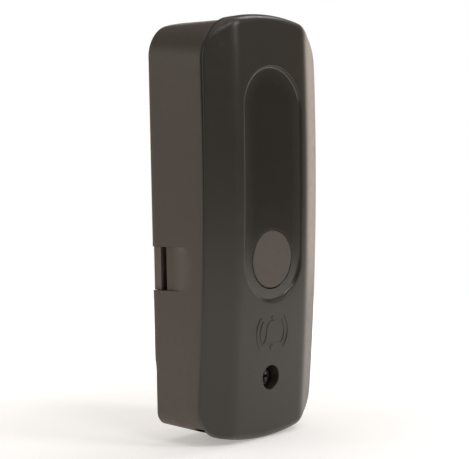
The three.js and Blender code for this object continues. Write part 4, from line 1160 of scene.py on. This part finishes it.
def soften_edges(cad):
    bevel = cad.modifiers.new("edges", "BEVEL")
    bevel.width = CAD_EDGE * MM
    bevel.segments = 2
    bevel.limit_method = "ANGLE"
    bevel.angle_limit = math.radians(CAD_EDGE_ANGLE)


stand_in(build_housing(), "wall_unit", "housing", "rear_housing")
stand_in(build_cover(), "cover", "cover", "front_cover")
stand_in(build_window(), "cover", "window", "smoked_window")
stand_in(build_button(), "button", "button", "call_button")

stand_in(build_screw("cover_screw_detail", 0, SCREW_Z, **COVER_SCREW), "screw", "blackened", "cover_screw")
for where, (x, z) in PLATE_SCREWS.items():
    screw = build_screw(f"housing_screw_{where}_detail", x, z, **PLATE_SCREW)
    stand_in(screw, "wall_unit", "steel", f"housing_screw_{where}")
for side, x in BOARD_SCREW_X.items():
    for level, z in BOARD_SCREW_Z.items():
        screw = build_screw(f"board_screw_{level}_{side}_detail", x, z, **BOARD_SCREW)
        stand_in(screw, "wall_unit", "steel", f"board_screw_{level}_{side}")

stand_in(build_barrel(), "camera", "black_plastic", "lens_barrel")
stand_in(build_lens_front(), "camera", "glass", "lens_front")
stand_in(build_motion_lens(), "wall_unit", "diffuser", "motion_lens")
stand_in(build_motion_sensor(), "wall_unit", "tin", "motion_sensor")
for level in LED_Z:
    for side in LED_X:
        stand_in(build_led(level, side), "wall_unit", "glass", f"infrared_led_{level}_{side}")
stand_in(build_speaker(), "wall_unit", "black_plastic", "speaker")
stand_in(build_microphone(), "wall_unit", "tin", "microphone")
stand_in(build_shield(), "wall_unit", "tin", "processor_shield")
stand_in(build_battery(), "wall_unit", "pouch", "battery_pack")

spring = stand_in(build_spring(), "cover", "steel", "button_spring")
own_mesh(spring)

for material, parts in build_board_parts().items():
    add_piece(parts, "wall_unit", material)

for material, names in CAD_SLOTS.items():
    for name in names:
        dress(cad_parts[name], material)
        soften_edges(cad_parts[name])


# ---------------- floor, light and camera

def paper():
    """Matt white that glows a little: one glow towards the camera, dimmer near the object as painted
    shade round its base, and one on the object.
    """
    made = surface("paper", PAPER, 0.9, mottle=0.01)
    tree = made.node_tree
    shader = tree.nodes["Principled BSDF"]
    place = node(tree, "NewGeometry").outputs["Position"]

    def glow(near, far, middle):
        away = node(tree, "VectorMath", {0: place, 1: middle}, operation="DISTANCE")
        return ramp(tree, away.outputs["Value"], *FLOOR_FADE, near, far, interpolation_type=SMOOTH)

    camera_ray = node(tree, "LightPath").outputs["Is Camera Ray"]
    # Towards the camera the glow is dimmer near the object: painted shade on the floor round its base.
    strength = node(tree, "Mix", {
        "Factor": camera_ray, VALUE_A: glow(*FLOOR_FELT), VALUE_B: glow(*FLOOR_SEEN_WITH_PAINTED_SHADE)})
    tree.links.new(mix_colours(tree, camera_ray, WARM_WHITE, PAPER_WHITE), shader.inputs["Emission Color"])
    tree.links.new(strength.outputs[0], shader.inputs["Emission Strength"])
    return made


def stage_floor():
    work = bmesh.new()
    bmesh.ops.create_circle(work, cap_ends=True, segments=96, radius=FLOOR_RADIUS)
    mesh = bpy.data.meshes.new("floor")
    work.to_mesh(mesh)
    work.free()
    floor = bpy.data.objects.new("floor", mesh)
    floor.location.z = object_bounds()[0][2]
    bpy.context.scene.collection.objects.link(floor)
    mesh.materials.append(paper())


def studio_world():
    """White towards the camera; as light, a white backdrop low down behind and dim elsewhere."""
    world = bpy.data.worlds.new("studio")
    bpy.context.scene.world = world
    world.use_nodes = True
    tree = world.node_tree
    tree.nodes.clear()
    direction = node(tree, "TexCoord").outputs["Generated"]
    behind = node(tree, "VectorMath", {0: direction, 1: BACKDROP_LEAN}, operation="DOT_PRODUCT")
    above = node(tree, "SeparateXYZ", {"Vector": direction}).outputs["Z"]
    sheet = ramp(tree, behind.outputs["Value"], *BACKDROP_EDGE, 0.0, BACKDROP, interpolation_type=SMOOTH)
    low = ramp(tree, above, *BACKDROP_TOP, 1.0, 0.0, interpolation_type=SMOOTH)
    backdrop = node(tree, "Math", {0: sheet, 1: low, 2: DIM}, operation="MULTIPLY_ADD")
    lit = node(tree, "Background", {"Color": WARM_WHITE, "Strength": backdrop.outputs["Value"]})
    seen = node(tree, "Background", {"Color": (1, 1, 1, 1), "Strength": 1.0})
    camera_ray = node(tree, "LightPath").outputs["Is Camera Ray"]
    mixed = node(tree, "MixShader", {0: camera_ray, 1: lit.outputs[0], 2: seen.outputs[0]})
    node(tree, "OutputWorld", {"Surface": mixed.outputs[0]})


def soft_light(name, azimuth, elevation, distance, width, height, power, target):
    """Area light aimed at target, from an angle off straight in front, positive to the visitor's right."""
    turn, rise = math.radians(azimuth), math.radians(elevation)
    away = Vector((math.sin(turn) * math.cos(rise), -math.cos(turn) * math.cos(rise), math.sin(rise)))
    data = bpy.data.lights.new(name, "AREA")
    data.shape = "RECTANGLE"
    data.size = width
    data.size_y = height
    data.energy = power
    lamp = bpy.data.objects.new(name, data)
    lamp.location = Vector(target) + away * distance
    lamp.rotation_euler = away.to_track_quat("Z", "Y").to_euler()
    bpy.context.scene.collection.objects.link(lamp)


def photo_camera():
    """Camera at its place, turned by yaw and pitch and then rolled about the line of sight."""
    yaw, pitch, roll = (math.radians(a) for a in CAMERA_TURN)
    ahead = Vector((math.sin(yaw) * math.cos(pitch), math.cos(yaw) * math.cos(pitch), -math.sin(pitch)))
    right = Vector((math.cos(yaw), -math.sin(yaw), 0))
    up = right.cross(ahead)
    across = right * math.cos(roll) + up * math.sin(roll)
    over = up * math.cos(roll) - right * math.sin(roll)
    data = bpy.data.cameras.new("camera")
    data.sensor_width = CAMERA_SENSOR
    data.lens = CAMERA_LENS
    data.clip_start, data.clip_end = CAMERA_CLIP
    camera = bpy.data.objects.new("camera", data)
    turned = Matrix((across, over, -ahead)).transposed().to_4x4()
    camera.matrix_world = Matrix.Translation(Vector(CAMERA_PLACE) * MM) @ turned
    bpy.context.scene.collection.objects.link(camera)
    bpy.context.scene.camera = camera


photo_camera()
stage_floor()
studio_world()
for row in LIGHTS:
    soft_light(*row)
bpy.context.scene.view_settings.view_transform = "Standard"
